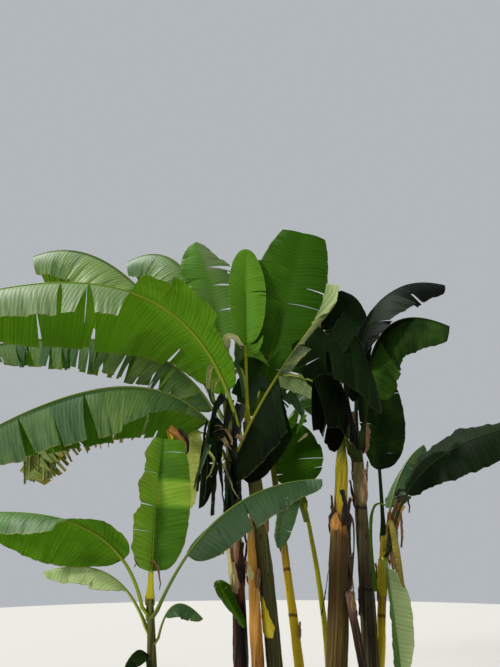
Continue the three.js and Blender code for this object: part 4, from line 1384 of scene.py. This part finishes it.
# The hanging and caught strips of each piece.
RIBBONS = {
    "crown_litter_left": (
        Ribbon((-780, 30, 2540), (-750, 20, 2750), (-660, 0, 2670), 65, (-10, 50), 0.5, Look.CREAM, 0.0),
        Ribbon((-660, 0, 2690), (-680, 20, 2600), (-730, 40, 2530), 60, (30, 60), 0.4, Look.GREEN, 0.3),
        Ribbon((-790, -10, 2470), (-880, -60, 2520), (-900, -70, 2340),
               35, (0, 40), 0.6, Look.CREAM, 0.0),
        Ribbon((-900, -70, 2360), (-870, -60, 2280), (-840, -40, 2230),
               45, (40, 0), 0.6, Look.GREEN, 0.4),
        Ribbon((-790, -20, 2410), (-850, -60, 2410), (-860, -60, 2260),
               35, (0, 40), 0.6, Look.PALE, 0.3),
        Ribbon((-770, 0, 2430), (-690, -20, 2530), (-640, -20, 2300), 35, (0, 40), 0.5, Look.GREEN, 0.1),
        Ribbon((-730, 20, 2450), (-660, 40, 2510), (-630, 40, 2360), 30, (0, 30), 0.5, Look.PALE, 0.2),
        Ribbon((-840, -90, 2060), (-760, -110, 2040), (-730, -100, 1950),
               45, (0, 120), 0.9, Look.SHEATH, 0.4),
        Ribbon((-870, -60, 2030), (-790, -100, 1980), (-720, -90, 1910),
               20, (60, 0), 0.9, Look.SHEATH, 0.6),
        Ribbon((-790, -90, 2000), (-760, -80, 1910), (-790, -80, 1840),
               35, (20, 80), 0.7, Look.CREAM, 0.5),
        Ribbon((-690, -150, 2010), (-650, -150, 1990), (-600, -150, 1970),
               30, (0, 20), 0.6, Look.SHEATH, 0.1),
        Ribbon((-770, -100, 1830), (-730, -120, 1680), (-670, -140, 1570),
               15, (0, 60), 0.6, Look.CREAM, 0.5),
        Ribbon((-910, -60, 2130), (-940, -90, 1880), (-970, -80, 1620),
               35, (70, 20), 0.5, Look.HULL, 0.4),
        Ribbon((-880, -70, 2090), (-890, -100, 1840), (-920, -90, 1560),
               45, (20, 100), 0.5, Look.HULL, 0.4),
        Ribbon((-850, -40, 2060), (-850, -60, 1770), (-860, -60, 1450),
               45, (60, 10), 0.5, Look.HULL, 0.4),
        Ribbon((-820, -70, 1990), (-810, -90, 1770), (-770, -80, 1500),
               50, (10, 80), 0.5, Look.HULL, 0.5),
        Ribbon((-790, -100, 1910), (-740, -110, 1700), (-710, -100, 1450),
               50, (80, 30), 0.5, Look.HULL, 0.5),
        Ribbon((-880, -110, 1950), (-950, -120, 1780), (-990, -100, 1640),
               30, (0, 50), 0.6, Look.GREEN, 0.5),
        Ribbon((-890, -120, 1900), (-850, -130, 1820), (-900, -120, 1710),
               20, (0, 60), 0.6, Look.PALE, 0.5),
        Ribbon((-750, -60, 1990), (-690, -70, 1770), (-660, -60, 1520),
               60, (10, 60), 0.4, Look.HULL, 0.4),
        Ribbon((-860, -60, 1700), (-860, -60, 1590), (-870, -60, 1450),
               20, (10, 60), 0.4, Look.YELLOW, 0.4),
        # Leaf pieces in the tangle: the low tones paint shade and the high ones paint sunlight.
        Ribbon((-680, 60, 2320), (-590, 90, 2490), (-480, 120, 2630),
               110, (0, 20), 0.2, Look.SHADE, 0.3, 0.1),
        Ribbon((-630, 80, 2260), (-530, 120, 2430), (-390, 120, 2330),
               135, (0, 20), 0.2, Look.GREEN, 0.4, 0.0),
        Ribbon((-610, 70, 2650), (-540, 70, 2690), (-490, 70, 2780), 75, (0, 20), 0.2, Look.YOUNG, 0.85),
        Ribbon((-610, 80, 2670), (-540, 80, 2640), (-450, 80, 2550),
               105, (0, 20), 0.2, Look.YOUNG, 0.85),
        Ribbon((-400, 40, 2390), (-340, 60, 2320), (-290, 60, 2260), 75, (0, 30), 0.3, Look.GREEN, 0.5),
        Ribbon((-320, 20, 2330), (-240, 20, 2240), (-190, 20, 2120), 80, (0, 30), 0.3, Look.GREEN, 0.5),
        Ribbon((-390, -10, 2450), (-260, 0, 2400), (-120, 10, 2340),
               135, (0, 10), 0.15, Look.SUNLIT, 0.1, 0.7),
        Ribbon((-350, -20, 2470), (-240, -10, 2460), (-120, 0, 2420), 20, (0, 10), 0.3, Look.PALE, 0.3),
        Ribbon((-190, 0, 2180), (-220, 0, 2110), (-250, 0, 2040), 35, (10, 30), 0.3, Look.YOUNG, 0.6),
        Ribbon((-170, 0, 2040), (-200, 0, 2010), (-240, 0, 1980), 20, (10, 40), 0.3, Look.CREAM, 0.7),
        Ribbon((-740, -60, 2280), (-760, -100, 2130), (-820, -110, 1980),
               65, (20, 60), 0.4, Look.HULL, 0.2),
        Ribbon((-660, -40, 2250), (-690, -80, 2090), (-720, -90, 1940),
               75, (0, 40), 0.4, Look.HULL, 0.2),
        Ribbon((-790, -60, 2310), (-860, -100, 2180), (-890, -110, 2010),
               60, (30, 80), 0.5, Look.HULL, 0.3),
    ),
    "fringe_left": (
        Ribbon((-1180, -60, 2070), (-1130, -60, 2020), (-1070, -60, 1940),
               60, (0, 40), 0.6, Look.ORANGE),
        Ribbon((-1110, -60, 2060), (-1050, -60, 1970), (-1060, -60, 1880),
               40, (20, 70), 0.7, Look.BROWN),
        Ribbon((-1180, -60, 2060), (-1160, -60, 1980), (-1140, -60, 1930),
               35, (0, 40), 0.6, Look.YELLOW),
        *(fringe_strip(x) for x in range(-2364, -2130, 23)),
    ),
    "crown_litter_right": (
        Ribbon((160, 40, 2200), (190, 20, 2070), (200, 0, 1900), 35, (20, 60), 0.5, Look.SHEATH, 0.3),
        Ribbon((250, 40, 2110), (270, 30, 2020), (250, 20, 1900), 45, (0, 40), 0.6, Look.SHEATH, 0.4),
        Ribbon((110, 30, 1990), (70, 20, 1900), (50, 10, 1770), 30, (30, 70), 0.5, Look.STRAW, 0.5),
        Ribbon((200, 0, 1930), (150, -20, 1830), (150, -20, 1700), 30, (20, 80), 0.6, Look.BROWN, 0.5),
        Ribbon((80, -100, 1560), (110, -110, 1280), (110, -110, 960), 20, (10, 80), 0.5, Look.HULL, 0.3),
        Ribbon((60, -90, 1630), (80, -100, 1520), (90, -100, 1410), 35, (10, 60), 0.6, Look.HULL, 0.4),
        # A torn leaf piece that fills the gap between the right crown's leaves, coloured in painted deep
        # shade.
        Ribbon((120, -400, 2800), (60, -460, 2700), (-30, -460, 2550), 155, (15, -15), 0.25,
               Look.DARK, 0.0, 0.45),
        Ribbon((20, -120, 3130), (-20, -120, 2980), (-130, -120, 2830), 100, (0, 15), 0.2, Look.SUNLIT,
               0.7, 0.8),
    ),
    "dry_bunch_small": (
        Ribbon((450, 190, 1470), (480, 170, 1310), (490, 180, 1090),
               35, (20, 60), 0.5, Look.SHEATH, 0.4),
        Ribbon((480, 200, 1530), (520, 180, 1420), (520, 180, 1220), 30, (60, 0), 0.7, Look.SHEATH, 0.5),
        Ribbon((540, 190, 1530), (460, 180, 1270), (500, 180, 900), 50, (10, 70), 0.6, Look.ORANGE, 0.6),
        Ribbon((510, 190, 1560), (440, 170, 1340), (460, 170, 1060), 60, (40, 0), 0.6, Look.SHEATH, 0.5),
        Ribbon((450, 190, 1470), (420, 180, 1270), (430, 180, 1090), 45, (0, 50), 0.6, Look.ORANGE, 0.6),
        Ribbon((320, 150, 910), (300, 150, 1420), (400, 150, 1520), 22, (0, 40), 0.8, Look.YOUNG, 0.3),
        Ribbon((500, 200, 1560), (570, 180, 1560), (580, 170, 1470), 35, (0, 90), 0.8, Look.BROWN, 0.5),
        Ribbon((500, 200, 1590), (540, 200, 1630), (580, 190, 1610), 30, (30, 90), 0.8, Look.BROWN, 0.5),
        Ribbon((440, 190, 1420), (410, 170, 1240), (420, 170, 1050), 20, (20, 80), 0.6, Look.BROWN, 0.5),
    ),
    "sucker_litter": (
        Ribbon((-1270, -580, 1300), (-1300, -600, 1200), (-1340, -600, 1130),
               20, (20, 60), 0.5, Look.STRAW, 0.5),
        Ribbon((-1220, -600, 1170), (-1180, -620, 1100), (-1170, -620, 990),
               20, (20, 60), 0.5, Look.SHEATH, 0.5),
    ),
}


class Studio:
    """The floor, the lights and the camera."""

    def __init__(self, distance: float, height: float, aside: float, pitch: float, lens: float) -> None:
        """Keeps the camera's place.

        Args:
            distance: How far in front of the origin it is, in metres.
            height: Its height.
            aside: How far to the right of the origin it is.
            pitch: How far up it looks, in degrees.
            lens: Its lens in millimetres, for the sensor named above.
        """
        self.place = (aside, -distance, height)
        self.pitch = pitch
        self.lens = lens

    def build(self) -> None:
        """Makes the floor, the lights and the camera, and sets the view transform."""
        self._add_floor()
        self._add_light("sun", power=3.6, towards=(-0.55, 0.45, 1.0), angle=2.5)
        self._add_light("front", power=1.8, towards=(-0.9, -0.8, 0.5), angle=12.0)
        world = bpy.data.worlds.new("studio")
        world.use_nodes = True
        background = world.node_tree.nodes["Background"]
        background.inputs["Color"].default_value = SKY
        background.inputs["Strength"].default_value = SKY_STRENGTH
        bpy.context.scene.world = world
        bpy.context.scene.view_settings.view_transform = "Standard"
        camera = bpy.data.objects.new("camera", bpy.data.cameras.new("camera"))
        camera.data.sensor_width = SENSOR
        camera.data.lens = self.lens
        camera.location = self.place
        camera.rotation_euler = (math.radians(90 + self.pitch), 0, 0)
        bpy.context.scene.collection.objects.link(camera)
        bpy.context.scene.camera = camera

    def _add_floor(self) -> None:
        """Adds a plain pale floor just below the ground."""
        bm = bmesh.new()
        bmesh.ops.create_circle(bm, cap_ends=True, radius=FLOOR_RADIUS, segments=96)
        bmesh.ops.translate(bm, verts=bm.verts, vec=(0, 0, FLOOR_DROP))
        mesh = bpy.data.meshes.new("floor")
        bm.to_mesh(mesh)
        bm.free()
        g = Graph("floor")
        place = g.node("ShaderNodeTexCoord", None, None, output="Object")
        grain = g.noise(place, (30.0, 30.0, 30.0), 3.0)
        mesh.materials.append(g.finish(g.mix(grain, "b9b6ae", "c2bfb7"), 0.9, grain * 0.001, 0.1))
        floor = bpy.data.objects.new("floor", mesh)
        bpy.context.scene.collection.objects.link(floor)

    def _add_light(self, name: str, power: float, towards: Place, angle: float) -> None:
        """Adds a sun that shines from the given direction.

        Args:
            name: Its name.
            power: Its strength.
            towards: The direction from the object to it.
            angle: Its apparent size in degrees.
        """
        light = bpy.data.lights.new(name, "SUN")
        light.energy = power
        light.angle = math.radians(angle)
        made = bpy.data.objects.new(name, light)
        made.rotation_euler = Vector(towards).to_track_quat("Z", "Y").to_euler()
        bpy.context.scene.collection.objects.link(made)


def main() -> None:
    """Builds every piece in order."""
    logging.basicConfig(level=logging.INFO, format="%(name)s %(message)s")
    Studio(distance=6.6, height=1.5, aside=-0.59, pitch=11.0, lens=48.576).build()
    stems = {stem.name: stem for stem in STEMS}
    for number, stem in enumerate(STEMS):
        stem.build(number + 1)
        LOG.info("stem %s", stem.name)
    materials = {look: look.value.build() for look in Look}
    for number, leaf in enumerate(LEAVES):
        leaf.seed = number + 1
        piece = leaf.build(stems, materials)
        LOG.info("leaf %s, %d faces", leaf.name, len(piece.data.polygons))
    for name, flaps in FLAPS.items():
        litter = Litter(f"dry_sheaths_{name}")
        for flap in flaps:
            litter.add_flap(stems[name], flap)
        litter.build(materials)
        LOG.info("sheaths of stem %s, %d strips", name, len(flaps))
    for name, ribbons in RIBBONS.items():
        litter = Litter(name)
        for ribbon in ribbons:
            litter.add_ribbon(ribbon)
        litter.build(materials)
        LOG.info("litter %s, %d strips", name, len(ribbons))


if __name__ == "__main__":
    main()
